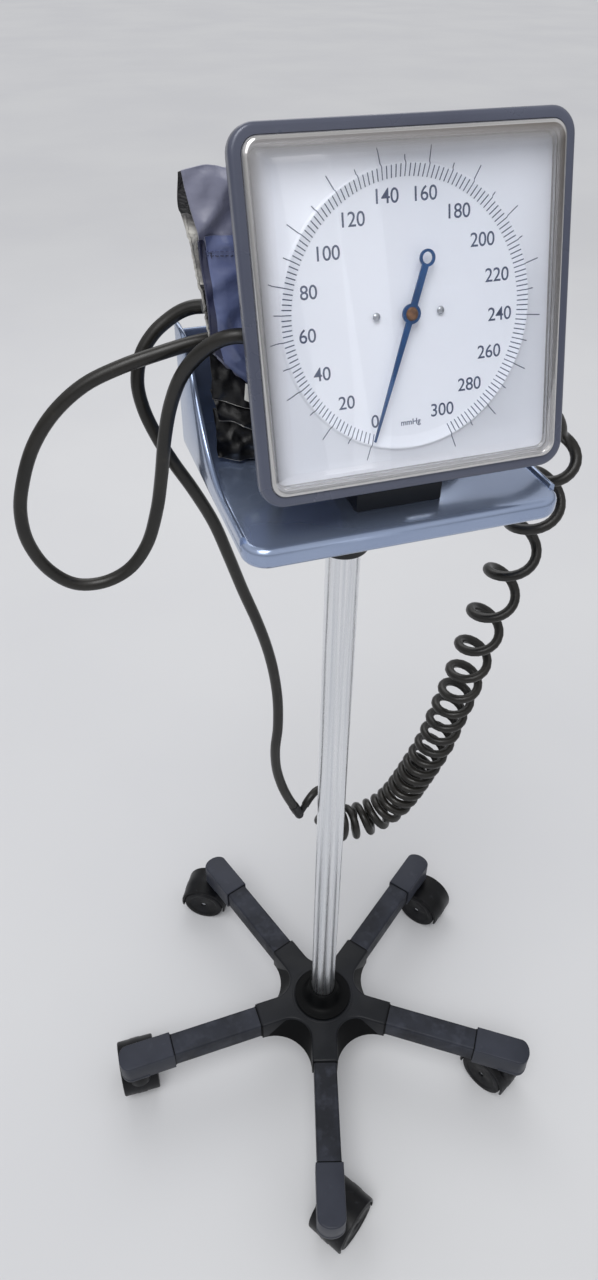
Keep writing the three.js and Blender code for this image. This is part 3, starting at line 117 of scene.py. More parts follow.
# The hoses' middle lines
BULB_HOSE_ROUTE = [
    (-30.3, -16.8, 796.8), (-39, -16.8, 796.8), (-49, -17, 801), (-55, -18, 811), (-57, -19, 824),
    (-58, -20, 838), (-62, -21, 851), (-71, -21.5, 860), (-82, -18, 859.5), (-93, -11, 851.5),
    (-104, -1, 835), (-111, 6, 815), (-116, 10, 792), (-120, 13.5, 764), (-125, 16, 738), (-134, 18, 712),
    (-148, 20, 694), (-166, 22, 686), (-184, 23.5, 688), (-199, 25, 702), (-208, 27, 724),
    (-208.5, 28, 746), (-203, 28, 767), (-193, 28, 789), (-178, 26, 809), (-158, 23.5, 825),
    (-136, 21.5, 834), (-113, 20, 840), (-94, 19, 844), (-79.3, 19, 845.5),
]
CUFF_HOSE_ROUTE = [
    (-81.3, 38, 858), (-87, 41, 857), (-93.5, 43.5, 854.5), (-101, 45, 850), (-111, 45, 842.5),
    (-120, 43.5, 831), (-124.5, 41, 815), (-123, 38, 799), (-117, 33, 781), (-109, 29.5, 764),
    (-98, 27, 743.5), (-86, 25, 717), (-77, 23.5, 688), (-68, 23, 657), (-58.5, 22, 627),
    (-50.5, 22, 597), (-45.5, 22, 569), (-43, 21, 540), (-43.5, 20, 510), (-46, 20, 484),
    (-45, 20, 460), (-40.5, 20, 437), (-35, 20, 419), (-29.5, 20, 405),
]
COIL_TAIL = [
    (-17, 22.5, 398), (-12.4, 24.3, 403.6), (-4.5, 28.5, 406.5), (3, 33, 401), (7, 36, 387), (8.5, 37.5, 368),
]
COIL_MIDDLE = [
    (8, 37.5, 347), (24, 37.5, 338), (46, 36.5, 336), (64, 35, 342), (78, 33, 355), (88, 30.5, 374),
    (96, 27, 398), (104, 23.5, 424), (110, 20, 450), (115, 15, 487), (119, 7, 532), (122, -6, 604),
    (126, -22, 675), (129, -37, 735), (129, -46, 765),
]
COIL_LEAD = [
    (125, -49.5, 785), (115, -50.8, 802), (99, -50.8, 810.2), (84, -50.8, 810.2), (68.3, -50.8, 810.2),
]
# The coil's pitch by the distance along its middle line
COIL_PITCH = [
    (0, 13), (45, 13.2), (66, 12), (130, 11.6), (165, 17), (240, 21.5), (300, 36), (390, 49.5), (520, 45),
]
COIL_RADIUS, COIL_START_TURN = 14.3, 0.68
COIL_RAMP_IN, COIL_RAMP_LENGTH, COIL_RAMP_OUT = 12, 24, 30
POINTS_PER_TURN = 18
HOSE_DIAMETER, COIL_DIAMETER = 8.5, 7.5


def smooth(value):
    """A soft step from 0 to 1."""
    value = min(max(value, 0), 1)
    return value * value * (3 - 2 * value)


def coil_winding():
    """The coiled tube's middle, wound about its own middle line."""
    knots = COIL_TAIL + COIL_MIDDLE + COIL_LEAD
    per = 120
    line = through(knots, per)
    distance = along(line)
    start = distance[per * len(COIL_TAIL)]
    end = distance[per * (len(COIL_TAIL) + len(COIL_MIDDLE) - 1)]
    pitch = np.interp(distance - start, [p[0] for p in COIL_PITCH], [p[1] for p in COIL_PITCH])
    side = np.array((0.0, 1.0, 0.0))
    turn = COIL_START_TURN - 2 * pi * start / COIL_PITCH[0][1]
    points, turns = [], []
    for index, point in enumerate(line):
        ahead = line[min(index + 1, len(line) - 1)] - line[max(index - 1, 0)]
        ahead /= np.linalg.norm(ahead)
        side = side - ahead * side.dot(ahead)
        side /= np.linalg.norm(side)
        other = np.cross(ahead, side)
        opening = smooth((distance[index] - start + COIL_RAMP_IN) / COIL_RAMP_LENGTH)
        closing = smooth((end + COIL_RAMP_OUT - distance[index]) / (COIL_RAMP_LENGTH + COIL_RAMP_OUT / 2))
        radius = COIL_RADIUS * opening * closing
        points.append(point + radius * (side * cos(turn) + other * sin(turn)))
        turns.append(turn if radius > 0 else nan)
        if index < len(line) - 1:
            turn += 2 * pi * (distance[index + 1] - distance[index]) / pitch[index]
    points = np.array(points)
    kept, last_turn, last_place = [0], turns[0], 0.0
    wire = along(points)
    for index in range(1, len(points)):
        turned = turns[index] - last_turn
        if turned >= 2 * pi / POINTS_PER_TURN or wire[index] - last_place >= COIL_DIAMETER / 2:
            kept.append(index)
            last_turn, last_place = turns[index], wire[index]
        elif isnan(turned):
            last_turn = turns[index]
    if kept[-1] != len(points) - 1:
        kept.append(len(points) - 1)
    return points[kept]


def hose(name, points, diameter):
    curve = bpy.data.curves.new(name, "CURVE")
    curve.dimensions = "3D"
    curve.bevel_depth = diameter / 2000
    curve.bevel_resolution = 6
    curve.use_fill_caps = True
    spline = curve.splines.new("POLY")
    spline.points.add(len(points) - 1)
    for place, point in zip(spline.points, points):
        place.co = (*at(*point), 1)
    curve.materials.append(MATERIALS["rubber"])
    obj = placed(name + "_tube", curve)
    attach(obj, "stand")
    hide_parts(name)
    return obj


# Materials

def rgb(code):
    """A colour written as on a screen, in the linear values that shaders use."""
    values = (int(code[i:i + 2], 16) / 255 for i in (1, 3, 5))
    return (*(v / 12.92 if v <= 0.04045 else ((v + 0.055) / 1.055) ** 2.4 for v in values), 1)


class Finish:
    """A material built from nodes: colour patches, roughness variation and bump layers."""

    def __init__(self, name, coordinates="Object"):
        self.material = bpy.data.materials.new(name)
        self.material.use_nodes = True
        self.tree = self.material.node_tree
        self.shader = self.tree.nodes["Principled BSDF"]
        self.coordinates = self.tree.nodes.new("ShaderNodeTexCoord").outputs[coordinates]
        self.height = None

    def node(self, kind, inputs=(), **settings):
        made = self.tree.nodes.new("ShaderNode" + kind)
        for key, value in settings.items():
            setattr(made, key, value)
        for key, value in dict(inputs).items():
            if isinstance(value, bpy.types.NodeSocket):
                self.tree.links.new(value, made.inputs[key])
            else:
                made.inputs[key].default_value = value
        return made

    def link(self, output, key):
        self.tree.links.new(output, self.shader.inputs[key])

    def fixed(self, **values):
        for key, value in values.items():
            self.shader.inputs[key.replace("_", " ")].default_value = value
        return self

    def noise(self, scale, detail, stretch):
        vector = self.node("Mapping", {"Vector": self.coordinates, "Scale": stretch}).outputs[0]
        return self.node("TexNoise", {"Vector": vector, "Scale": scale, "Detail": detail}).outputs["Fac"]

    def ranged(self, value, low, high, to_low=0.0, to_high=1.0):
        inputs = {"Value": value, "From Min": low, "From Max": high, "To Min": to_low, "To Max": to_high}
        return self.node("MapRange", inputs, clamp=True).outputs[0]

    def mixed(self, factor, first, second):
        return self.node("Mix", {0: factor, 6: first, 7: second}, data_type="RGBA").outputs[2]

    def colours(self, light, dark, scale, stretch=(1, 1, 1), low=0.35, high=0.65, detail=4.0):
        factor = self.ranged(self.noise(scale, detail, stretch), low, high)
        self.colour = self.mixed(factor, rgb(dark), rgb(light))
        self.link(self.colour, "Base Color")
        return self

    def spots(self, code, scale, low, high, strength, stretch=(1, 1, 1)):
        factor = self.ranged(self.noise(scale, 5.0, stretch), low, high, 0.0, strength)
        self.colour = self.mixed(factor, self.colour, rgb(code))
        self.link(self.colour, "Base Color")
        return self

    def roughness(self, low, high, scale, stretch=(1, 1, 1)):
        self.link(self.ranged(self.noise(scale, 4.0, stretch), 0.3, 0.7, low, high), "Roughness")
        return self

    def bumps(self, height, depth, strength):
        """One more bump layer, its depth in micrometres."""
        inputs = {"Height": height, "Distance": depth / 1e6, "Strength": strength}
        if self.height is not None:
            inputs["Normal"] = self.height
        self.height = self.node("Bump", inputs).outputs[0]
        self.link(self.height, "Normal")
        return self

    def grain(self, scale, depth, strength, stretch=(1, 1, 1), detail=3.0):
        return self.bumps(self.noise(scale, detail, stretch), depth, strength)


SATIN, METAL = {"Specular_IOR_Level": 0.22}, {"Metallic": 1.0}
STREAKS = (60, 60, 0.6)

# Each finish: light and dark colour and the patches' scale; roughness range and its scale; grain layers
# (scale, depth in micrometres, strength); fixed inputs; and any spots (colour, scale, from, to, strength).
PLAIN_FINISHES = {
    "hub": (("#1a1c21", "#131519", 14), (0.36, 0.5, 30), [(2400, 50, 0.5)], SATIN,
            ("#24262c", 60, 0.6, 0.78, 0.35)),
    # Near-black: the pole collar's own black plastic, and painted shade on the hub's sloping webs and in the
    # arms' joint gaps.
    "black_and_painted_shade": (("#060709", "#040506", 14), (0.45, 0.6, 30), [(2400, 50, 0.5)],
              {"Specular_IOR_Level": 0.1}),
    "arm": (("#2d3039", "#1d1f25", 26), (0.42, 0.62, 60), [(900, 180, 0.8), (160, 200, 0.4)], SATIN,
            ("#41444f", 90, 0.52, 0.74, 0.45)),
    "cap": (("#363943", "#2c2f38", 20), (0.34, 0.48, 40), [(2200, 50, 0.5)], SATIN,
            ("#464954", 90, 0.6, 0.75, 0.4)),
    "black": (("#08090b", "#050607", 40), (0.3, 0.45, 50), [(2600, 40, 0.5)], {}),
    "castor": (("#101115", "#0a0b0d", 30), (0.3, 0.5, 60), [(1800, 60, 0.5)], SATIN,
               ("#2a2b30", 160, 0.62, 0.74, 0.5)),
    "tyre": (("#131418", "#0c0d0f", 60), (0.4, 0.65, 90), [(1200, 100, 0.7)], SATIN,
             ("#35332f", 220, 0.58, 0.72, 0.5)),
    "steel": (("#c9ccd0", "#aeb1b6", 80), (0.18, 0.32, 120), [(3000, 20, 0.4)], METAL),
    "pole": (("#f4f5f7", "#dcdfe3", 8, STREAKS, 0.3, 0.7), (0.2, 0.34, 10, STREAKS),
             [(14, 120, 0.5, STREAKS)], METAL),
    "tray": (("#a3b2ce", "#93a3c2", 9), (0.16, 0.24, 25), [(70, 60, 0.3)],
             {"Metallic": 0.7, "Coat_Weight": 0.5, "Coat_Roughness": 0.05}),
    "case": (("#565b6c", "#4d5162", 12), (0.24, 0.36, 40), [(1600, 30, 0.4)],
             {"Metallic": 0.15, "Coat_Weight": 0.25, "Coat_Roughness": 0.2},
             ("#666a7c", 900, 0.6, 0.75, 0.15)),
    "cover": (("#4a4d5a", "#3f424e", 16), (0.4, 0.55, 50), [(1400, 80, 0.7)], {}),
    "dial": (("#eceef5", "#e4e7ef", 6), (0.32, 0.42, 30), [(800, 20, 0.3)], {}),
    "ink": (("#48536f", "#3c4661", 300), (0.5, 0.6, 100), [(2500, 10, 0.3)], {}),
    "pointer": (("#104a80", "#0c3a68", 60), (0.28, 0.4, 90), [(1500, 30, 0.4)],
                {"Specular_IOR_Level": 0.3}),
    "brass": (("#a98a50", "#80653a", 240), (0.25, 0.42, 200), [(1800, 40, 0.5)], METAL),
    "copper": (("#8d6546", "#6a4a36", 300), (0.35, 0.5, 200), [(1800, 50, 0.5)], {"Metallic": 0.6}),
    "rubber": (("#1f1d19", "#141310", 30), (0.28, 0.42, 50), [(900, 80, 0.6)], {},
               ("#3b372e", 150, 0.62, 0.76, 0.35)),
    "bulb": (("#2b2a2b", "#212021", 40), (0.5, 0.65, 60), [(1000, 100, 0.6)], {}),
    "thread": (("#5a6084", "#464c6c", 800), (0.6, 0.8, 400), [(2500, 100, 0.8)], {}),
}

# Coated cloths: light and dark colour, roughness
CLOTHS = {
    "cuff": ("#83859a", "#6c6f87", 0.4), "pocket": ("#6f7ba5", "#58638f", 0.38),
    "binding": ("#2c3154", "#1b1f3a", 0.5), "lining": ("#101014", "#08080a", 0.42),
    "tag": ("#e6e6e2", "#d4d4d0", 0.7),
}


def plain_finish(name, colours, roughness, grains, fixed, spots=None):
    made = Finish(name).colours(*colours)
    if spots:
        made.spots(*spots)
    made.roughness(*roughness).fixed(**fixed)
    for layer in grains:
        made.grain(*layer)
    return made


def clear_plastic(name, colour, rough, clear, shade):
    """Clear acrylic that lets lamp light through to the dial."""
    made = Finish(name)
    made.fixed(Base_Color=colour, Roughness=rough, IOR=1.49, Transmission_Weight=clear)
    made.grain(12, 20, 0.06, detail=0.0)
    shadow = made.node("LightPath").outputs["Is Shadow Ray"]
    through_it = made.node("BsdfTransparent", {"Color": shade}).outputs[0]
    mix = made.node("MixShader", {0: shadow, 1: made.shader.outputs[0], 2: through_it})
    made.tree.links.new(mix.outputs[0], made.tree.nodes["Material Output"].inputs["Surface"])
    return made


def coated_cloth(name, light, dark, rough):
    """Coated nylon: a fine plain weave along the piece's length and height, soft creases, a satin shine."""
    made = Finish(name, "UV")
    # Broad light and dark patches in the colour: faint painted highlight and shade.
    made.colours(light, dark, 34, (1.3, 0.6, 1), 0.36, 0.64, 2.0)
    threads = []
    for axis in ("X", "Y"):
        inputs = {"Vector": made.coordinates, "Scale": 820.0, "Distortion": 0.5, "Detail": 1.0}
        threads.append(made.node("TexWave", inputs, wave_type="BANDS", bands_direction=axis).outputs["Fac"])
    weave = made.node("Math", {0: threads[0], 1: threads[1]}, operation="MULTIPLY").outputs[0]
    made.colour = made.mixed(made.ranged(weave, 0.0, 1.0, 0.0, 0.18), made.colour, rgb(dark))
    made.link(made.colour, "Base Color")
    made.roughness(rough - 0.1, rough + 0.08, 60)
    made.bumps(weave, 60, 0.5).grain(140, 800, 0.5, detail=5.0).grain(45, 4000, 0.6)
    made.fixed(Sheen_Weight=0.5, Sheen_Roughness=0.3, Specular_IOR_Level=0.8)
    return made


def hook_strip():
    """Black hook tape: rows of fine stiff hooks that catch the light, worn pale at places."""
    made = Finish("hook_tape", "UV").colours("#17171b", "#0e0e11", 60).spots("#8b8a86", 240, 0.66, 0.8, 0.7)
    made.roughness(0.45, 0.7, 120)
    cells = made.node("TexVoronoi", {"Vector": made.coordinates, "Scale": 900.0}).outputs["Distance"]
    return made.bumps(cells, 600, 0.9).grain(150, 800, 0.6)


def frayed_tape():
    """The tape's worn back and the pale threads that stand out of its edge; also the pale cord along the
    black tongues' edges, partly their hem and partly painted highlight.
    """
    made = Finish("frayed_tape", "UV").colours("#cfcdc6", "#6e6c6c", 160, (1, 0.35, 1), 0.4, 0.6)
    made.spots("#1d1c20", 110, 0.52, 0.66, 0.85, (1, 0.5, 1))
    return made.roughness(0.55, 0.8, 120).grain(420, 900, 0.9).grain(120, 1500, 0.7)


def make_materials():
    made = {key: plain_finish(key, *row) for key, row in PLAIN_FINISHES.items()}
    made.update({key: coated_cloth(key, *row) for key, row in CLOTHS.items()})
    made["lining"].fixed(Sheen_Weight=0.05, Specular_IOR_Level=0.4)
    made["hooks"], made["fray"] = hook_strip(), frayed_tape()
    made["lens"] = clear_plastic("lens_clear", (0.97, 0.98, 1, 1), 0.02, 1.0, (0.96, 0.97, 0.98, 1))
    made["lens_border"] = clear_plastic("lens_border", (0.66, 0.65, 0.64, 1), 0.09, 0.4,
                                        (0.25, 0.25, 0.26, 1))
    made["lens_border"].fixed(Metallic=0.75, Coat_Weight=1.0, Coat_Roughness=0.03)
    bend = clear_plastic("lens_bend", (0.9, 0.9, 0.9, 1), 0.05, 1.0, (0.85, 0.85, 0.86, 1))
    bend.fixed(Coat_Weight=0.6, Coat_Roughness=0.03)
    shine, painted_shade = (bend.node("Attribute", attribute_name=name).outputs["Fac"] for name in ("shine", "painted_shade"))
    bend.link(shine, "Metallic")
    # The border's colour goes from near-white to a painted brown-grey shade along its top and right.
    bend.link(bend.mixed(painted_shade, rgb("#fbfbfd"), rgb("#8d857e")), "Base Color")
    made["lens_bend"] = bend
    return {key: finish.material for key, finish in made.items()}


MATERIALS = make_materials()


# Meshes

def dress(obj, keys, angle=35):
    """Gives an object its materials and shades it smooth up to an angle."""
    for place, key in enumerate(keys):
        if place < len(obj.data.materials):
            obj.data.materials[place] = MATERIALS[key]
        else:
            obj.data.materials.append(MATERIALS[key])
    obj.data.shade_smooth()
    obj.data.set_sharp_from_angle(angle=radians(angle))


def make(name, parts, keys, body, replaces=(), transform=None, angle=35, weld=0.001):
    """One object from (vertices, faces[, material number]) parts in millimetres about the pole's axis."""
    shape = bmesh.new()
    transform = transform or Matrix()
    for vertices, faces, *number in parts:
        made = [shape.verts.new(at(*(transform @ Vector(v)))) for v in vertices]
        for face in faces:
            try:
                shape.faces.new([made[i] for i in face]).material_index = number[0] if number else 0
            except ValueError:
                continue
    bmesh.ops.remove_doubles(shape, verts=shape.verts, dist=weld * 0.001)
    bmesh.ops.recalc_face_normals(shape, faces=shape.faces)
    mesh = bpy.data.meshes.new(name)
    shape.to_mesh(mesh)
    shape.free()
    obj = placed(name, mesh)
    dress(obj, keys, angle)
    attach(obj, body)
    if replaces:
        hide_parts(*replaces)
    return obj


def loft(rings, loop=False, start=True, end=True, around=True):
    """Faces between rings of equal length. A loop joins the last to the first; open rows don't go around."""
    count = len(rings[0])
    vertices = [point for ring in rings for point in ring]
    faces = []
    for ring in range(len(rings) if loop else len(rings) - 1):
        first, after = ring * count, (ring + 1) % len(rings) * count
        for corner in range(count if around else count - 1):
            beside = (corner + 1) % count
            faces.append((first + corner, first + beside, after + beside, after + corner))
    if not loop and start:
        faces.append(tuple(range(count)))
    if not loop and end:
        faces.append(tuple(range(len(vertices) - count, len(vertices))))
    return vertices, faces


def sleeve(rings, around=True):
    """A loft that is open at both ends."""
    return loft(rings, start=False, end=False, around=around)


def lathe(profile, segments=64, loop=False):
    """A body turned about Z from (radius, height) points."""
    rings = []
    for radius, height in profile:
        turns = (2 * pi * k / segments for k in range(segments))
        rings.append([(radius * cos(t), radius * sin(t), height) for t in turns])
    return loft(rings, loop, profile[0][0] > 0, profile[-1][0] > 0)


def arc(x, y, radius, start, stop, steps):
    turns = np.linspace(radians(start), radians(stop), steps + 1)
    return [(x + radius * cos(t), y + radius * sin(t)) for t in turns]


def rounded(width, height, radius, steps):
    x, y = width / 2 - radius, height / 2 - radius
    return (arc(x, -y, radius, -90, 0, steps) + arc(x, y, radius, 0, 90, steps)
            + arc(-x, y, radius, 90, 180, steps) + arc(-x, -y, radius, 180, 270, steps))


def edge_rounding(radius, steps):
    """(inset, drop) pairs from the flat face to the side."""
    turns = (pi / 2 * k / steps for k in range(steps + 1))
    return [(radius * (1 - sin(t)), radius * (1 - cos(t))) for t in turns]


def slab_rings(outline, bottom, top, radius, steps):
    """The rings of a slab with rounded edges, from a function of the inset that gives its outline."""
    edge = edge_rounding(radius, steps)
    rings = [[(*p, bottom + drop) for p in outline(inset)] for inset, drop in edge]
    return rings + [[(*p, top - drop) for p in outline(inset)] for inset, drop in reversed(edge)]


def slab(outline, bottom, top, radius, steps=4):
    return loft(slab_rings(outline, bottom, top, radius, steps))


def moved(part, matrix):
    vertices, faces = part
    return [tuple(matrix @ Vector(v)) for v in vertices], faces


# Base

BASE_BOTTOM, BASE_TOP = 58.4, 86.3
BASE_MIDDLE = (BASE_BOTTOM + BASE_TOP) / 2
ARM_STEP = radians(72)
ARM_TURNS = [radians(-107.1 + 72 * k) for k in range(5)]
ARM_START, ARM_END, ARM_SIZE, ARM_BORE = 40.3, 198, 24.5, 21.5
SOCKET, SOCKET_REACH, HUB_FILLET, HUB_FOOT_FILLET = 27.9, 76, 23, 41
SKIRT = SOCKET - 0.6
CAP_START, CAP_NOSE, CAP_END, CAP_RIB_START, CAP_RIB = 175, 10, 233, 204, 0.35
COLLAR_BORE = 12.8
CASTOR_TURNS = [radians(t) for t in (33, 116, -54, 150, 88)]
CASTOR_CIRCLE, CASTOR_TRAIL, WHEEL_RADIUS, WHEEL_INSIDE = 215, 19, 25, 4.8
HOOD_START, HOOD_END = -12, 192


def hub_outline(inset, width=SOCKET, fillet=HUB_FILLET, corner=1.5):
    half, reach = width / 2 - inset, SOCKET_REACH - inset
    centre = (width / 2 + fillet) / sin(ARM_STEP / 2)
    tip = [(reach - corner, -half), (reach, -half + corner), (reach, half - corner), (reach - corner, half)]
    points = []
    for turn in ARM_TURNS:
        c, s = cos(turn), sin(turn)
        points += [(x * c - y * s, x * s + y * c) for x, y in tip]
        middle = turn + ARM_STEP / 2
        x, y = centre * cos(middle), centre * sin(middle)
        start, stop = degrees(turn) - 90, degrees(turn + ARM_STEP) - 270
        points += arc(x, y, fillet + inset, start, stop, 14)
    return points


def hub_skirt():
    """The sloping web between the sockets, its fillets tighter towards the top, coloured near-black as
    painted shade.
    """
    rings = [[(*p, BASE_BOTTOM) for p in hub_outline(0.8, SKIRT, HUB_FOOT_FILLET, 0.2)]]
    for share in np.linspace(0, 1, 9):
        fillet = HUB_FOOT_FILLET + (HUB_FILLET + 0.3 - HUB_FOOT_FILLET) * share
        height = BASE_BOTTOM + 0.8 + (BASE_TOP - 1.5 - BASE_BOTTOM - 0.8) * share
        rings.append([(*p, height) for p in hub_outline(0, SKIRT, fillet, 0.2)])
    return (*loft(rings), 1)


def arm_ring(x, size, corner):
    """An arm's square section, at x along it."""
    return [(x, y, BASE_MIDDLE + z) for y, z in rounded(size, size, corner, 4)]


def joint_gap(start):
    """A painted shadow: a thin near-black band where an arm enters its socket or cap."""
    return (*loft([arm_ring(x, 25.3, 2.6) for x in (start, start + 1.1)]), 1)


def make_base():
    hub = slab(hub_outline, BASE_BOTTOM, BASE_TOP, 2.2)
    seat = lathe([(0, BASE_TOP - 1), (34.5, BASE_TOP - 1), (34.5, BASE_TOP + 0.35), (33.6, BASE_TOP + 0.7),
                  (32.2, BASE_TOP + 0.7), (31.6, BASE_TOP + 0.2), (0, BASE_TOP + 0.2)], 72)
    make("hub_body", [hub, seat, hub_skirt()], ["hub", "black_and_painted_shade"], "stand", ["base_hub"])
    collar = [(COLLAR_BORE, 0), (30.2, 0), (31, 0.8), (31, 2.4), (30.3, 3), (24, 3.4), (21.5, 4.6), (19.8, 7),
              (17.4, 15), (16.3, 18.4), (15.4, 19.4), (COLLAR_BORE, 19.4)]
    collar = lathe([(radius, BASE_TOP + 0.3 + height) for radius, height in collar], 72, True)
    make("pole_collar", [collar], ["black_and_painted_shade"], "stand", ["hub_collar"])
    for number, turn in enumerate(ARM_TURNS, 1):
        spin = Matrix.Rotation(turn, 4, "Z")
        tube = sleeve([arm_ring(x, ARM_SIZE, 2.6) for x in np.linspace(ARM_START, ARM_END, 12)])
        hollow = sleeve([arm_ring(x, ARM_BORE, 1.2) for x in (ARM_START, ARM_END)])
        # The last two parts are painted shadow bands at the arm's joints.
        parts = [tube, hollow, joint_gap(SOCKET_REACH - 0.1), joint_gap(CAP_START - 1)]
        make(f"arm_{number}", parts, ["arm", "black_and_painted_shade"], "stand", [f"arm_tube_{number}"], spin)
        make(f"arm_end_{number}", arm_end(), ["cap"], "stand", [f"arm_cap_{number}"], spin)


def arm_end():
    """The moulded end: a sleeve over the arm, a blunt nose over the castor's stem and a low rib across."""
    half = SOCKET / 2

    def nose(inset):
        turns = np.linspace(-pi / 2, pi / 2, 25)
        depth = CAP_NOSE - inset
        return [(CAP_END - CAP_NOSE + depth * cos(t), (half - inset) * sin(t)) for t in turns]

    def outline(inset):
        return [(CAP_START + inset, half - inset), (CAP_START + inset, -half + inset)] + nose(inset)

    def rib(inset):
        side = half + CAP_RIB - inset
        return [(CAP_RIB_START + inset, side), (CAP_RIB_START + inset, -side)] + nose(inset - CAP_RIB)

    return [slab(outline, BASE_BOTTOM, BASE_TOP, 1.6),
            slab(rib, BASE_BOTTOM - 0.2, BASE_BOTTOM + 4.5, 0.8, 2)]


def castor_hood():
    """About the axle: a rounded shell over both wheels, a web between them, the axle's eye and the stem."""
    half = [(29.5, 4.6), (29, 6), (29, 18), (28.6, 19.2), (27.6, 19.8), (26.5, 19.8)]
    section = [(radius, -y) for radius, y in reversed(half)] + half
    rings = []
    for turn in np.linspace(radians(HOOD_START), radians(HOOD_END), 44):
        c, s = cos(turn), sin(turn)
        rings.append([(r * c, y, r * s) for r, y in section])
    web = loft([[(x, y, z) for x, z in arc(0, 0, 27, HOOD_START, HOOD_END, 30)] for y in (-4.5, 4.5)])
    eye = lathe([(0, -4.8), (7.4, -4.8), (8, -4.2), (8, 4.2), (7.4, 4.8), (0, 4.8)], 36)
    stem = lathe([(0, 14.5), (12.6, 14.5), (12.4, 24), (10.6, 29), (10, 31), (10, 32.6), (9.4, 33.1),
                  (4, 33.1), (4, 54), (3.4, 55), (0, 55)], 36)
    return [loft(rings), web, moved(eye, Matrix.Rotation(radians(90), 4, "X")),
            moved(stem, Matrix.Translation((-CASTOR_TRAIL, 0, 0)))]


# A wheel's half section about its axle: radius, and height from its inner side
WHEEL = [(3.3, 0.3), (23.6, 0), (24.6, 0.5), (25, 1.6), (25, 12.8), (24.7, 14), (23.9, 14.8), (22.8, 15),
         (19.4, 15), (18.6, 14.8), (17.6, 14.2), (16.4, 14), (3.9, 14), (3.3, 13.6)]


def make_castor(number, arm_turn, turn):
    spot = Matrix.Translation((CASTOR_CIRCLE * cos(arm_turn), CASTOR_CIRCLE * sin(arm_turn), 0))
    axle = spot @ Matrix.Rotation(turn, 4, "Z") @ Matrix.Translation((CASTOR_TRAIL, 0, WHEEL_RADIUS))
    make(f"castor_cover_{number}", castor_hood(), ["castor"], f"castor_{number}",
         [f"castor_hood_{number}"], axle)
    for letter, side in (("a", 1), ("b", -1)):
        facing = Matrix.Rotation(radians(-90 * side), 4, "X")
        place = axle @ Matrix.Translation((0, side * WHEEL_INSIDE, 0)) @ facing
        make(f"wheel_{number}{letter}_tread", [lathe(WHEEL, 56, True)], ["tyre"], f"wheel_{number}{letter}",
             [f"castor_wheel_{number}{letter}"], place)


make_base()
for number, (arm_turn, turn) in enumerate(zip(ARM_TURNS, CASTOR_TURNS), 1):
    make_castor(number, arm_turn, turn)


# Pole, funnel and tray

POLE_BOTTOM, POLE_TOP, POLE_RADIUS = 62, 757, 12.5
TRAY_BOTTOM, TRAY_TOP = 763, 776
TRAY_HALF, TRAY_FRONT, TRAY_BACK = 97, -105, 57
FRONT_CORNER, BACK_CORNER = 15, 6
WALL, WALL_START, LIP, WALL_HEIGHT = 3.5, -90, 2, 70
SWEEP_START, SWEEP_RADIUS, WALL_SLOPE = -58, 70, radians(52)
END_ROUNDING = 7
FUNNEL_DEPTH, FUNNEL_RADIUS, FUNNEL_FLARE, FUNNEL_TOP = 61, 36, 17, 762.7


def make_pole():
    edge = POLE_RADIUS - 0.4
    rings = [(11, POLE_TOP), (edge, POLE_TOP), (POLE_RADIUS, POLE_TOP - 0.4)]
    rings += [(POLE_RADIUS, z) for z in np.linspace(POLE_TOP - 10, POLE_BOTTOM + 1, 8)]
    rings.append((edge, POLE_BOTTOM))
    make("pole_tube", [lathe(rings, 96)], ["pole"], "stand", ["pole"])
    mouth = POLE_TOP - FUNNEL_DEPTH
    profile = [(12.8, mouth + 0.6), (13.4, mouth), (16.9, mouth), (17.5, mouth + 0.6), (19, POLE_TOP - 18)]
    for turn in np.linspace(0.05, pi / 2, 14):
        profile.append((FUNNEL_RADIUS - FUNNEL_FLARE * cos(turn), POLE_TOP - FUNNEL_FLARE * (1 - sin(turn))))
    profile += [(FUNNEL_RADIUS, POLE_TOP + 0.6), (FUNNEL_RADIUS, FUNNEL_TOP - 0.8), (35.2, FUNNEL_TOP),
                (12.8, FUNNEL_TOP)]
    make("tray_funnel", [lathe(profile, 72, True)], ["black"], "stand", ["tray_socket"])


def tray_outline(inset):
    x, front, back = TRAY_HALF - inset, TRAY_FRONT + inset, TRAY_BACK - inset
    f, b = max(FRONT_CORNER - inset, 1), max(BACK_CORNER - inset, 1)
    return (arc(x - f, front + f, f, -90, 0, 12) + arc(x - b, back - b, b, 0, 90, 8)
            + arc(b - x, back - b, b, 90, 180, 8) + arc(f - x, front + f, f, 180, 270, 12))


def wall_height(y):
    """The side wall's top edge over the tray's depth: a low lip, a round sweep, a slope and a flat top."""
    lip, top = TRAY_TOP + LIP, TRAY_TOP + WALL_HEIGHT
    sweep, end = y - SWEEP_START, SWEEP_RADIUS * sin(WALL_SLOPE)
    if sweep <= 0:
        return lip
    if sweep <= end:
        return lip + SWEEP_RADIUS - sqrt(SWEEP_RADIUS * SWEEP_RADIUS - sweep * sweep)
    line = lip + SWEEP_RADIUS * (1 - cos(WALL_SLOPE)) + (sweep - end) * tan(WALL_SLOPE)
    soft = 5.0
    height = -soft * log(exp(-(line - top) / soft) + 1) + top
    back = y - (TRAY_BACK - END_ROUNDING)
    if back <= 0:
        return height
    return height - END_ROUNDING + sqrt(max(END_ROUNDING ** 2 - back * back, 0))


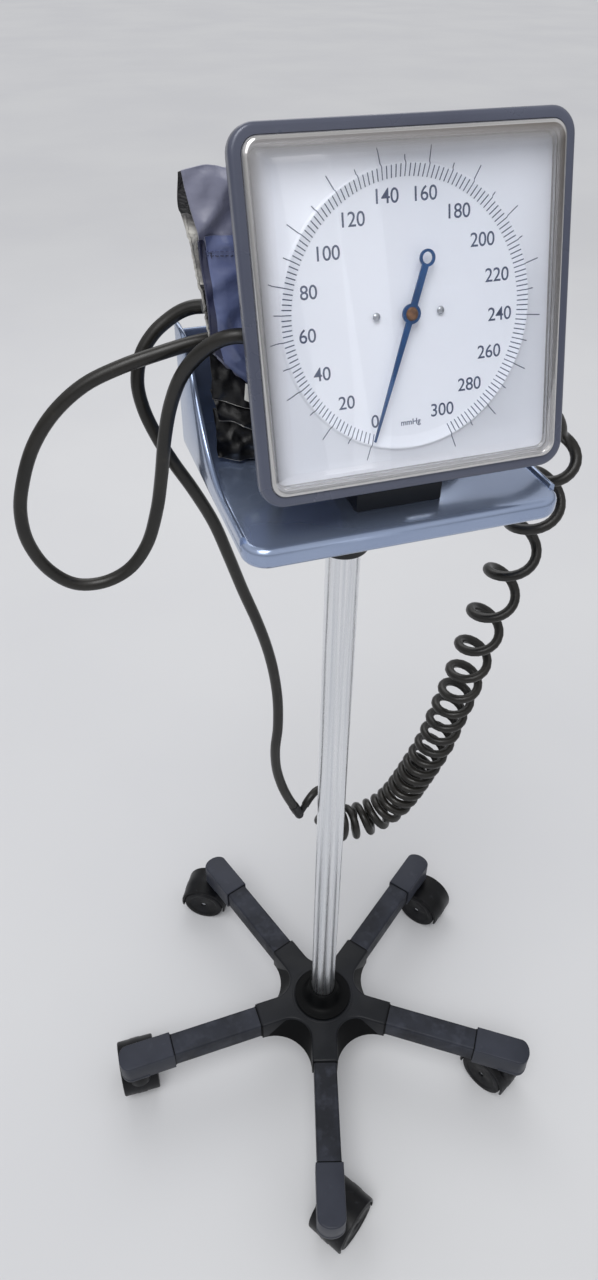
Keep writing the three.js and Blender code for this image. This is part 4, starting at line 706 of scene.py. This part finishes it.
def make_tray():
    hollow = ((7.5, TRAY_TOP - 3), (7.5, TRAY_BOTTOM + 0.6), (7, TRAY_BOTTOM))
    rings = [[(*p, height) for p in tray_outline(inset)] for inset, height in hollow]
    rings += slab_rings(tray_outline, TRAY_BOTTOM, TRAY_TOP, 4.5, 6)
    boss = lathe([(40, TRAY_TOP - 4), (40, TRAY_BOTTOM + 0.6), (39.4, TRAY_BOTTOM), (0, TRAY_BOTTOM)], 64)
    rows = []
    for (x, y), (u, v) in zip(tray_path(0.03), tray_path(WALL)):
        shoulder = wall_height(y) - 1.5
        row = [(x, y, TRAY_BOTTOM + 5), (x, y, min(TRAY_TOP, shoulder)), (x, y, max(shoulder, TRAY_TOP))]
        for share in (0.12, 0.35, 0.65, 0.88):
            lift = 1.5 * (1 - (2 * share - 1) ** 4)
            row.append((x + (u - x) * share, y + (v - y) * share, shoulder + lift))
        rows.append(row + [(u, v, max(shoulder, TRAY_TOP)), (u, v, TRAY_TOP - 1)])
    closing = [(row, [tuple(range(len(row)))]) for row in (rows[0], rows[-1])]
    parts = [loft(rings), boss, sleeve(rows, around=False), *closing]
    make("tray_body", parts, ["tray"], "stand", ["tray"], angle=40)


def tray_path(inset):
    """The walls' line from the left front round the back to the right front."""
    x, back, corner = TRAY_HALF - inset, TRAY_BACK - inset, max(BACK_CORNER - inset, 2.5)
    side = [(-x, y) for y in np.linspace(WALL_START, back - corner, 60)]
    round_left = arc(corner - x, back - corner, corner, 180, 90, 8)[1:]
    round_right = arc(x - corner, back - corner, corner, 90, 0, 8)
    across = [(u, back) for u in np.linspace(corner - x, x - corner, 12)[1:-1]]
    return side + round_left + across + round_right + [(-u, y) for u, y in reversed(side)][1:]


make_pole()
make_tray()


# Gauge, about the middle of its scale: x to the right, y up the face, z out of the face.

LEAN = radians(15.7)
GAUGE = Matrix.Translation((0, -72, 882.6)) @ Matrix.Rotation(pi / 2 - LEAN, 4, "X")

# Widths of the square outlines, and heights out of the scale's plane
CASE, LENS, LENS_BORE, RECESS, WELL, DIAL = 174.8, 163.7, 158.6, 164, 144, 163
CASE_FRONT, CASE_BACK, LEDGE, LENS_FRONT, PANE_BACK = 9.5, -24, -1.3, 13, 10.5
LENS_EDGE, BORDER = 2.8, 12


def ring_at(size, corner, height):
    return [(x, y, height) for x, y in rounded(size, size, corner, 10)]


def tint_edges(lens):
    """How much each point of the cover's bent border shines and darkens: most at the top and the right. The
    shine sets how metallic it is; the darkening is painted shade in its colour.
    """
    shine = lens.data.attributes.new("shine", "FLOAT", "POINT")
    painted_shade = lens.data.attributes.new("painted_shade", "FLOAT", "POINT")
    back = GAUGE.inverted()
    for number, vertex in enumerate(lens.data.vertices):
        x, y, _ = back @ ((vertex.co - AXIS) * 1000)
        slant = smooth(0.4 + (0.75 * y + 0.45 * x) / 164)
        near = smooth((max(abs(x), abs(y)) - 69.8) / 11)
        shine.data[number].value = near * (0.3 + 0.55 * slant)
        painted_shade.data[number].value = near * slant


def make_gauge():
    rings = [ring_at(RECESS, 8, CASE_FRONT), ring_at(RECESS, 8, LEDGE), ring_at(WELL, 8, LEDGE),
             ring_at(WELL, 8, CASE_BACK), ring_at(153, 2.6, CASE_BACK), ring_at(154, 3, CASE_BACK + 0.5),
             ring_at(174, 12.7, 1.6), ring_at(CASE, 13, 2.6)]
    rings += [ring_at(CASE - 2 * inset, 13 - inset, CASE_FRONT - drop)
              for inset, drop in reversed(edge_rounding(2.5, 5))]
    make("gauge_case", [loft(rings, True)], ["case"], "gauge", ["gauge_housing"], GAUGE, 30)
    make_lens()
    make_dial()


def make_lens():
    """The clear cover: straight sides, rounded edge, a border that rises to the flat pane, and its inside."""
    turns = np.linspace(0, radians(75), 8)
    bends = [(LENS_EDGE * (1 - cos(t)), 9.05 + LENS_EDGE * sin(t)) for t in turns]
    width = BORDER - bends[-1][0]
    pillow = [(inset, LENS_FRONT - 1.25 * ((BORDER - inset) / width) ** 2)
              for inset in (3, 4, 5.2, 6.6, 8.2, 10, BORDER)]
    foot = ring_at(LENS_BORE, 5.8, 0.3)
    shell = [foot, ring_at(LENS, 8, 0.3)]
    shell += [ring_at(LENS - 2 * inset, 8 - inset * 0.5, height) for inset, height in bends + pillow]
    inside = [foot] + [ring_at(LENS_BORE - 2 * inset, 5.8 - inset * 0.3, PANE_BACK - drop)
                       for inset, drop in reversed(edge_rounding(6.4, 10))]
    pane = [(ring, [tuple(range(len(ring)))], 0) for ring in (shell[-1], inside[-1])]
    side = len(shell) - len(pillow)
    border = [(*sleeve(shell[:side]), 1), (*sleeve(shell[side - 1:]), 2), (*sleeve(inside), 0)]
    keys = ["lens", "lens_border", "lens_bend"]
    tint_edges(make("dial_lens", pane + border, keys, "gauge", ["lens"], GAUGE, 30))


def scale_angle(value):
    """Clockwise from the top, for a reading from 0 to 300."""
    return radians((value - 150) * 320 / 300)


# The dial's front by radius: a low disc, a ring that rises outwards under the fine marks, and the flat border
SCALE_RING = [(61.2, -0.7), (61.8, -0.66), (66.8, 1.0), (67.4, 1.12), (68, 1.0), (68.6, 0.3), (69, -0.02)]
MARK_START, MARK_FINE, MARK_TENS, MARK_TWENTIES = 61.9, 67.4, 71, 75.8
MARK_DEPTH = 0.05


def scale_mark(value):
    turn = scale_angle(value)
    reach = MARK_TWENTIES if value % 20 == 0 else MARK_TENS if value % 10 == 0 else MARK_FINE
    width = 0.5 if value % 10 == 0 else 0.55
    ring_radii, ring_heights = zip(*SCALE_RING)
    rings = []
    for radius in [MARK_START] + [r for r in ring_radii if MARK_START < r < reach] + [reach]:
        x, y = radius * sin(turn), radius * cos(turn)
        z = float(np.interp(radius, ring_radii, ring_heights))
        dx, dy = cos(turn) * width / 2, -sin(turn) * width / 2
        rings.append([(x + side * dx, y + side * dy, z + rise * MARK_DEPTH)
                      for side, rise in ((-1, -1), (1, -1), (1, 1), (-1, 1))])
    return loft(rings)


def make_dial():
    back = loft([ring_at(DIAL, 8, -1), ring_at(DIAL, 8, -0.06)], end=False)
    turns = [2 * pi * k / 160 for k in range(160)]
    vertices, faces = lathe([(0, SCALE_RING[0][1])] + SCALE_RING, 160)
    disc = vertices, [face for face in faces if len(face) == 4 or 0 in face]
    outline = np.array(rounded(162.6, 162.6, 7.8, 10))
    reach = np.interp(turns, np.arctan2(outline[:, 1], outline[:, 0]), np.hypot(*outline.T), period=2 * pi)
    reach = np.minimum(reach, 81.3 / np.maximum(abs(np.cos(turns)), abs(np.sin(turns))))
    radius, height = SCALE_RING[-1]
    border = sleeve([[(radius * cos(t), radius * sin(t), height) for t in turns],
                     [(r * cos(t), r * sin(t), height) for t, r in zip(turns, reach)]])
    frame_edge = sleeve([ring_at(DIAL, 8, -0.06), ring_at(162.4, 7.7, height)])
    make("dial_face", [back, disc, border, frame_edge], ["dial"], "gauge", ["dial_plate"], GAUGE, 50)
    marks = [scale_mark(value) for value in range(0, 301, 2)]
    make("scale_marks", marks, ["ink"], "gauge", (), GAUGE, weld=0.0001)
    for value in range(0, 301, 20):
        turn = scale_angle(value)
        half_width = 2.25 * len(str(value))
        reach = 59.3 - half_width * abs(sin(turn)) - 3.4 * abs(cos(turn))
        shift = 0 if value else -1.3
        write(f"number_{value}", str(value), reach * sin(turn) + shift, reach * cos(turn), 9.4)
    write("unit", "mmHg", 0, -54.6, 4.3)


def write(name, words, x, y, size):
    """Plain printed figures on the dial."""
    curve = bpy.data.curves.new(name, "FONT")
    curve.body = words
    curve.size = size * 0.001
    curve.align_x = curve.align_y = "CENTER"
    curve.extrude = 0.00003
    curve.space_character = 0.98
    curve.offset = 0.00006
    curve.materials.append(MATERIALS["ink"])
    text = placed(name + "_text", curve)
    bpy.context.view_layer.update()
    mesh = bpy.data.meshes.new_from_object(text.evaluated_get(bpy.context.evaluated_depsgraph_get()))
    bpy.data.objects.remove(text)
    place = Matrix.Translation(AXIS) @ Matrix.Scale(0.001, 4) @ GAUGE
    mesh.transform(place @ Matrix.Translation((x, y, SCALE_RING[0][1])) @ Matrix.Scale(1000, 4))
    obj = placed(name, mesh)
    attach(obj, "gauge")


make_gauge()


# Cuff: one long band wound flat, its outer layer padded and creased

CUFF_LAYER, CUFF_PITCH, CUFF_FIRST, CUFF_TURNS = 7.3, 8.2, 4.2, 1.75
CUFF_HALF = 67.5
CUFF_STRAIGHT = CUFF_HALF - CUFF_FIRST - CUFF_TURNS * CUFF_PITCH
CUFF_HEIGHT, CUFF_FOOT, CUFF_LEAN, CUFF_SAG = 155, 776.3, 0.147, 3
CUFF_MIDDLE = (-11.5, 27.7)
PER_HALF_TURN = 36


def band_line():
    """The band's middle line from its inner end out, evenly spaced, with its outward normals."""
    points = []
    for step in range(int(2 * PER_HALF_TURN * CUFF_TURNS) + 1):
        turn = pi * step / PER_HALF_TURN
        radius = CUFF_FIRST + CUFF_PITCH * step / (2 * PER_HALF_TURN)
        ends = [1, -1] if step % PER_HALF_TURN == PER_HALF_TURN // 2 else [copysign(1, cos(turn))]
        if step % (2 * PER_HALF_TURN) > PER_HALF_TURN:
            ends.reverse()
        points += [(end * CUFF_STRAIGHT + radius * cos(turn), radius * sin(turn)) for end in ends]
    points = np.array(points)
    place = along(points)
    even = np.linspace(0, place[-1], int(place[-1] / 1.6))
    line = np.stack([np.interp(even, place, points[:, k]) for k in (0, 1)], 1)
    ahead = np.gradient(line, axis=0)
    ahead /= np.linalg.norm(ahead, axis=1)[:, None]
    normal = np.stack([ahead[:, 1], -ahead[:, 0]], 1)
    return line, normal, even


BAND, BAND_NORMAL, BAND_PLACE = band_line()
BAND_LENGTH = BAND_PLACE[-1]
OUTER_START = BAND_LENGTH - 330


def crease(place, height, side):
    """How far the band's face stands out or in, in millimetres."""
    outer = smooth((place - OUTER_START) / 20) if side > 0 else 0
    slow = wobble(place / 36, height / 55, side * 7.3)
    quick = wobble(place / 13 + 9, height / 26, side * 3.1)
    fine = wobble(place / 6, height / 9 + 4, side * 5.7)
    ridge = 1 - 2.2 * abs(wobble(place / 40 + height / 90, height / 70 - place / 120, side * 9.1))
    return ((0.5 + 1.2 * outer) * slow + (0.25 + 0.7 * outer) * quick + 0.25 * outer * fine
            + 1.5 * outer * max(ridge, 0) ** 2)


def cuff_point(place, height, offset):
    """A point of the band: place along it, height above its foot, offset outwards from its middle."""
    x, y = (np.interp(place, BAND_PLACE, BAND[:, k]) for k in (0, 1))
    nx, ny = (np.interp(place, BAND_PLACE, BAND_NORMAL[:, k]) for k in (0, 1))
    x, y = x + nx * offset, y + ny * offset
    share = height / CUFF_HEIGHT
    sag = CUFF_SAG * share * share * (1 - (x / CUFF_HALF) ** 2)
    edge = 1.6 * share * wobble(place / 48, 3.3, 1.7)
    x -= CUFF_LEAN * CUFF_HEIGHT * (share - 0.5)
    return x + CUFF_MIDDLE[0], y + CUFF_MIDDLE[1], CUFF_FOOT + height - sag + edge


def thickness(height):
    """Half the band's thickness: thin at its sewn edges, full between them."""
    low, high = (exp(-(edge / 4.5) ** 2) for edge in (height, CUFF_HEIGHT - height))
    return CUFF_LAYER / 2 * (1 - 0.55 * (low + high))


# The band's loose outer end lies over its front as a flat flap. Left edges: height, x; top, foot: x, height.
FLAP_LEFT = through([
    (826, -80), (840, -82.5), (853, -84.5), (884, -87), (907, -89.2), (918.5, -91.6), (937, -94.6),
], 8)
HOOKS_LEFT = through([
    (846, -84.5), (858, -86.4), (872, -88.4), (885, -90.4), (896, -92.2), (906, -93.8), (916, -94.8),
    (917.5, -96.8), (937, -95.6),
], 8)
FLAP_TOP = through([
    (-99, 935.8), (-96, 936.6), (-88, 938.6), (-79, 939.4), (-71, 937.4), (-58, 934.6), (-20, 934), (45, 932),
], 8)
FLAP_FOOT = through([(-99, 846), (-84, 841), (-76, 832), (-63, 820), (-45, 814), (45, 813)], 8)
FLAP_RIGHT, POCKET_RIGHT = 44, -60


def table(curve, value):
    return float(np.interp(value, curve[:, 0], curve[:, 1]))


def level(left, right):
    """A straight edge from x = -99 to x = 45."""
    return np.array([(-99, left), (45, right)], float)


HEM_LOW, HEM_HIGH = level(898.5, 895), level(906.9, 903.4)

# Folds across the flap: from and to (x, height), how far they stand out, and their width
FOLDS = [
    ((-95, 900), (-68, 936), 3.0, 4.0), ((-82, 903), (-62, 926), -1.8, 4.0),
    ((-98, 922), (-84, 940), -1.3, 3.0), ((-88, 876), (-64, 893), 2.0, 4.5),
    ((-84, 866), (-70, 843), 2.6, 4.5), ((-77, 848), (-64, 872), -1.8, 4.0),
    ((-86, 842), (-60, 826), 1.8, 3.5), ((-55, 930), (-30, 905), 2.4, 6.0),
    ((-45, 900), (-12, 858), 2.2, 6.0), ((-25, 928), (12, 888), 2.4, 6.5),
    ((-2, 850), (32, 884), 2.0, 6.0), ((-40, 838), (-8, 826), 1.8, 5.0),
    ((14, 925), (38, 905), 2.0, 6.0), ((8, 842), (36, 824), 1.8, 5.0),
]


def folds(x, z):
    """How far the folds push the cloth out at a point."""
    total = 0.0
    for (x0, z0), (x1, z1), height, width in FOLDS:
        length = hypot(x1 - x0, z1 - z0)
        ahead = ((x - x0) * (x1 - x0) + (z - z0) * (z1 - z0)) / length
        aside = ((x - x0) * (z1 - z0) - (z - z0) * (x1 - x0)) / length + 1.2 * sin(ahead / 5)
        beyond = max(-ahead, ahead - length, 0)
        total += height * exp(-(aside / width) ** 2 - (beyond / (2 * width)) ** 2)
    return total


def flap_face(x, z, out):
    """A point on the flap's front: it lies on the band and curls back at its free left edge."""
    curl = max(-62 - x, 0) / 36
    top = max(z - 900, 0) / 38
    y = 2.4 + 5.5 * curl ** 2 + 2.2 * top ** 2
    sharp = 1 - abs(wobble(x / 30 + z / 55, z / 60, 8.8)) * 2.4
    hem = z - table(HEM_LOW, x)
    pucker = 0.45 * exp(-(hem / 6) ** 2) * sin(x * 1.9 + 2 * sin(x / 7))
    y -= (1.6 * wobble(x / 21, z / 34, 2.2) + 1.2 * max(sharp, 0) ** 2 + 0.6 * wobble(x / 9, z / 14, 5.1)
          + pucker + folds(x, z))
    return x, y - out, z


def slab_of(point, us, vs, depth):
    """A thin closed slab: its front from point(u, v, 0), its back that much behind."""
    rings = []
    for u in us:
        ring = [point(u, v, 0) for v in vs]
        ring += [point(u, v, -depth) for v in reversed(vs)]
        rings.append(ring)
    return loft(rings)


def flap_part(left, foot, top, out, depth, number, swell=0.0, right=FLAP_RIGHT):
    """A layer of the flap between its left edge and the right, and between its foot and its top edge."""
    def point(u, v, back):
        x = -80.0
        for _ in range(3):
            low, high = table(foot, x), table(top, x)
            z = low + (high - low) * v
            start = table(left, z)
            x = start + (right - start) * u
        edge = min(u * (right - start), v * (high - low), (1 - v) * (high - low))
        pinch = exp(-(edge / 3.0) ** 2)
        return flap_face(x, z, out + swell * (1 - pinch) - 0.35 * pinch + back * (1 - 0.45 * pinch))
    us = np.concatenate([np.linspace(0, 0.1, 9), np.linspace(0.12, 0.4, 30), np.linspace(0.44, 1, 12)])
    vs = list(np.concatenate([[0, 0.008, 0.02], np.linspace(0.035, 0.965, 56), [0.98, 0.992, 1]]))
    return (*slab_of(point, us, vs, depth), number)


def cord_along(points, radius, number, sides=6):
    """A thin round trim that follows points."""
    points = [Vector(p) for p in points]
    rings = []
    side = Vector((0, 1, 0.2))
    for index, point in enumerate(points):
        ahead = (points[min(index + 1, len(points) - 1)] - points[max(index - 1, 0)]).normalized()
        side = (side - ahead * side.dot(ahead)).normalized()
        other = ahead.cross(side)
        turns = (2 * pi * k / sides for k in range(sides))
        rings.append([tuple(point + (side * cos(t) + other * sin(t)) * radius) for t in turns])
    return (*loft(rings), number)


STITCH_START, STITCH_STOP, STITCH_EVERY, STITCH_LENGTH, STITCH_RADIUS = -86, -20, 2.6, 1.7, 0.22


def stitches(rise, out, number):
    """A row of short threads along the hem's foot, so far above it."""
    made = []
    x = STITCH_START
    while x < STITCH_STOP:
        z = table(HEM_LOW, x) + rise
        points = [flap_face(x + STITCH_LENGTH * k / 3, z, out + 0.16 * sin(pi * k / 3)) for k in range(4)]
        made.append(cord_along(points, STITCH_RADIUS, number, 5))
        x += STITCH_EVERY
    return made


# Three crumpled tongues of the black inner cloth: low edge, high edge, and how far each bulges
TONGUES = [
    ([(-87, 3, 817), (-78, -2, 815), (-66, -4, 811), (-48, -4, 806), (-30, -2, 803)],
     [(-86, 5, 842), (-78, 5, 836), (-66, 4, 826), (-48, 4, 815), (-30, 4, 810)], 2.5),
    ([(-84, 0, 803), (-76, -5, 804), (-66, -7, 799), (-50, -7, 795), (-34, -5, 792)],
     [(-87, 5, 820), (-77, 4, 819), (-66, 3, 814), (-48, 3, 809), (-30, 3, 806)], 3.5),
    ([(-86, 2, 780), (-78, -4, 779), (-66, -6, 779), (-50, -7, 779), (-34, -5, 779)],
     [(-86, 5, 808), (-76, 3, 808), (-66, 2, 803), (-50, 2, 799), (-34, 2, 796)], 3.0),
]


def tongue(low, high, bulge):
    edges = [through(edge, 8) for edge in (low, high)]

    def point(u, v, back):
        at_low, at_high = ([np.interp(u, np.linspace(0, 1, len(edge)), edge[:, k]) for k in range(3)]
                           for edge in edges)
        x, y, z = (a + (b - a) * v for a, b in zip(at_low, at_high))
        ridge = 1 - 2.5 * abs(wobble(x / 13 + z / 20, z / 9 - x / 30, bulge + 11))
        y -= bulge * sin(pi * (0.15 + 0.85 * v)) + 2.4 * wobble(x / 9, z / 7, bulge)
        y -= 0.7 * wobble(x / 3.5, z / 4, bulge + 5) + 1.6 * max(ridge, 0) ** 2
        return x, y - back, z
    part = (*slab_of(point, np.linspace(0, 1, 40), list(np.linspace(0, 1, 18)), 1.6), LINING)
    # A pale cord along the tongue's low edge: partly its hem, partly a painted highlight.
    edge = [point(u, 0, -0.6) for u in np.linspace(0, 0.98, 60)]
    return [part, cord_along(edge, 0.55, FRAY_AND_EDGE_HIGHLIGHT)]


# The cuff's materials by number
CUFF_KEYS = ["cuff", "binding", "hooks", "thread", "tag", "fray", "lining", "pocket"]
CLOTH, BINDING, HOOKS, THREAD, TAG, FRAY_AND_EDGE_HIGHLIGHT, LINING, POCKET = range(8)


def flap_parts():
    """The outer layer, the hook tape behind it, the pocket with its hem and binding, seams and worn edges."""
    higher, wider, inward = np.array([0.0, 2]), np.array([0.0, -0.4]), np.array([0, 3.2])
    left, foot = FLAP_LEFT + inward, FLAP_FOOT + higher
    parts = [
        flap_part(FLAP_LEFT, FLAP_FOOT, FLAP_TOP, 0.0, 2.2, CLOTH, 0.7),
        flap_part(HOOKS_LEFT, level(850, 846), FLAP_TOP - (0, 0.8), -2.5, 1.3, HOOKS),
        flap_part(left, foot, level(906.5, 903), 1.1, 1.2, POCKET, 0.5),
        flap_part(left, HEM_LOW, HEM_HIGH, 2.1, 1.2, POCKET, 0.3),
        flap_part(FLAP_LEFT + wider, foot, level(905, 903), 0.5, 1.6, BINDING, 0.3, POCKET_RIGHT),
    ]
    parts += stitches(0.9, 2.7, THREAD) + stitches(-1.5, 2.0, BINDING)
    edge = [flap_face(table(FLAP_LEFT, z) + 0.2, z, -0.9) for z in np.linspace(850, 904, 60)]
    parts.append(cord_along(edge, 1.15, BINDING, 8))
    fray = []
    for z in np.linspace(850, 916, 120):
        jitter = 0.5 * wobble(z / 2.1, 0.4, 0.3)
        fray.append(flap_face(table(HOOKS_LEFT, z) + 0.3 + jitter, z + 0.4 * jitter, -2.9 + 0.6 * jitter))
    return parts + [cord_along(fray, 0.8, FRAY_AND_EDGE_HIGHLIGHT)]


def make_cuff():
    low = [0, 1.5, 4, 8]
    high = [CUFF_HEIGHT - h for h in reversed(low)]
    heights = np.concatenate([low, np.linspace(12, CUFF_HEIGHT - 12, 44), high])
    rings = []
    for place in np.arange(0, BAND_LENGTH, 2.4):
        ring = [cuff_point(place, h, thickness(h) + crease(place, h, 1)) for h in heights]
        ring += [cuff_point(place, h, -thickness(h) + crease(place, h, -1)) for h in heights[::-1]]
        rings.append(ring)
    band = loft(rings)
    parts = [band] + flap_parts()
    for low_edge, high_edge, bulge in TONGUES:
        parts += tongue(low_edge, high_edge, bulge)
    cuff = make("cuff_band", parts + [tag()], CUFF_KEYS, "stand", ["cuff"], angle=75)
    # The band's faces in front, below the fold height, take the black cloth, so the band is black at its
    # front foot.
    front, fold = at(0, 14, 824)[1:]
    worn_low, worn_high = at(0, 0, 881).z, at(0, 0, 916.8).z
    for face in cuff.data.polygons:
        if face.index < len(band[1]) and face.center.y < front and face.center.z < fold:
            face.material_index = LINING
        if face.material_index == HOOKS and worn_low < face.center.z < worn_high:
            face.material_index = FRAY_AND_EDGE_HIGHLIGHT
    lay_uv(cuff)


def tag():
    """A small bare cloth tag under the flap's foot."""
    def point(u, v, back):
        y = -8 - 2 * (1 - v) - 0.8 * sin(3 * u) - back
        return -70.5 + 5 * u + 1.5 * v, y, 818.5 + 9 * v - 2.5 * u
    return (*slab_of(point, np.linspace(0, 1, 6), list(np.linspace(0, 1, 6)), 0.6), TAG)


def lay_uv(obj):
    """UV from the surface itself: across it in the plan, and its height, in metres."""
    layer = obj.data.uv_layers.new(name="cloth")
    for loop in obj.data.loops:
        point = obj.data.vertices[loop.vertex_index].co
        layer.data[loop.index].uv = (point.x + point.y, point.z)


make_cuff()


# Bulb

BULB_START = (0, -16.8, 796.8)
BULB_LENGTH, BULB_NECK, BULB_RADIUS = 75, 5, 20.5


def make_bulb():
    half = (BULB_LENGTH - BULB_NECK) / 2
    profile = [(0, 0), (6.6, 0), (8, 0.8), (8, BULB_NECK - 1)]
    for step in range(5, 41):
        turn = pi * step / 40
        radius = BULB_RADIUS * sin(turn) ** 0.92 if step < 40 else 0
        profile.append((radius, BULB_NECK + half * (1 - cos(turn))))
    seam = [(r + (0.35 if abs(z - BULB_NECK - half) < 1 else 0), z) for r, z in profile]
    place = Matrix.Translation(BULB_START) @ Matrix.Rotation(pi / 2, 4, "Y")
    make("bulb_body", [lathe(seam, 64)], ["bulb"], "stand", ["bulb"], place, 60)


make_bulb()


# Hoses

def make_hoses():
    bulb_hose = hose("bulb_hose", through(BULB_HOSE_ROUTE, 6), HOSE_DIAMETER)
    cuff_hose = hose("cuff_hose", through(CUFF_HOSE_ROUTE, 6), HOSE_DIAMETER)
    coil_hose = hose("coil_hose", coil_winding(), COIL_DIAMETER)


make_hoses()


# The remaining pieces keep their solids and get their finishes, and some get softer edges (in millimetres).

NODE_FINISHES = {
    "black": "gauge_bracket pressure_port hose_connector_socket hose_connector_plug",
    "steel": "pole_bolt tilt_pin hairspring bulb_valve valve_knob dial_screw_left dial_screw_right "
             "castor_axle_1 castor_axle_2 castor_axle_3 castor_axle_4 castor_axle_5",
    "cover": "gauge_back", "copper": "pinion_shaft", "pointer": "pointer",
    "brass": "sector_gear movement_frame pressure_capsule",
}
SOFTENED = {"gauge_bracket": 0.8, "gauge_back": 0.6, "valve_knob": 0.4, "bulb_valve": 0.4, "pointer": 0.15}


def dress_nodes():
    for key, names in NODE_FINISHES.items():
        for name in names.split():
            dress(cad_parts[name], [key], 32)
    for name, width in SOFTENED.items():
        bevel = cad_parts[name].modifiers.new("edges", "BEVEL")
        bevel.width = width / 1000
        bevel.segments = 2
        bevel.limit_method = "ANGLE"
        bevel.angle_limit = radians(40)


dress_nodes()


# Floor, lamps and world

def lamp(name, data, place, aim):
    obj = placed(name, data)
    spot, target = at(*place), at(*aim)
    obj.location = spot
    obj.rotation_mode = "QUATERNION"
    obj.rotation_quaternion = (target - spot).to_track_quat("-Z", "Y")


# The room's light by height (0 below the horizon, 1 overhead), its grey where seen directly, and its strength
HORIZON, ZENITH = (0.34, 0.35, 0.37, 1), (0.8, 0.8, 0.8, 1)
ROOM_GREYS = ((0.16, 0.4), (0.4, 0.9), (0.75, 1.0), (0.88, 0.7))
BACKDROP, ROOM_STRENGTH = (0.86, 0.87, 0.88, 1), 0.66


def make_world():
    """An even room, brighter overhead than at the horizon."""
    world = bpy.data.worlds.new("room")
    bpy.context.scene.world = world
    world.use_nodes = True
    tree = world.node_tree
    coordinates, split, ramp, seen, path = (tree.nodes.new("ShaderNode" + kind) for kind in (
        "TexCoord", "SeparateXYZ", "ValToRGB", "Mix", "LightPath"))
    background = tree.nodes["Background"]
    stops = ramp.color_ramp.elements
    stops[0].position, stops[0].color = 0.0, HORIZON
    stops[1].position, stops[1].color = 0.97, ZENITH
    for position, grey in ROOM_GREYS:
        stops.new(position).color = (grey, grey, grey * 1.02, 1)
    seen.data_type = "RGBA"
    seen.inputs[7].default_value = BACKDROP
    for output, target in (
        (coordinates.outputs["Generated"], split.inputs[0]), (split.outputs["Z"], ramp.inputs[0]),
        (path.outputs["Is Camera Ray"], seen.inputs[0]), (ramp.outputs[0], seen.inputs[6]),
        (seen.outputs[2], background.inputs["Color"]),
    ):
        tree.links.new(output, target)
    background.inputs["Strength"].default_value = ROOM_STRENGTH


# Soft lamps: name, place, width and height in metres, watts, what it is aimed at
AREA_LAMPS = (
    ("key", (-900, -1300, 2400), (1.2, 1.2), 7, (0, 0, 700)),
    ("window", (600, -1936, 1212), (0.14, 1.3), 0.6, (-30, -72, 880)),
    ("back", (300, 1700, 2200), (1.6, 1.6), 10, (0, 0, 500)),
)
SUN_STRENGTH, SUN_ANGLE = 1.15, 32


def make_stage():
    bpy.ops.mesh.primitive_plane_add(size=80, location=(0, 0, 0))
    floor = bpy.context.object
    floor.name = "floor"
    paper = Finish("floor_paper").colours("#d3d4d6", "#cecfd2", 1.2).roughness(0.85, 0.95, 3)
    floor.data.materials.append(paper.material)
    sun = bpy.data.lights.new("daylight", "SUN")
    sun.energy, sun.angle = SUN_STRENGTH, radians(SUN_ANGLE)
    lamp("daylight", sun, (-500, -760, 2400), (0, 0, 400))
    for name, place, size, power, aim in AREA_LAMPS:
        data = bpy.data.lights.new(name, "AREA")
        data.shape = "RECTANGLE"
        data.size, data.size_y = size
        data.energy = power
        lamp(name, data, place, aim)
    make_world()
    bpy.context.scene.view_settings.view_transform = "Standard"


make_stage()
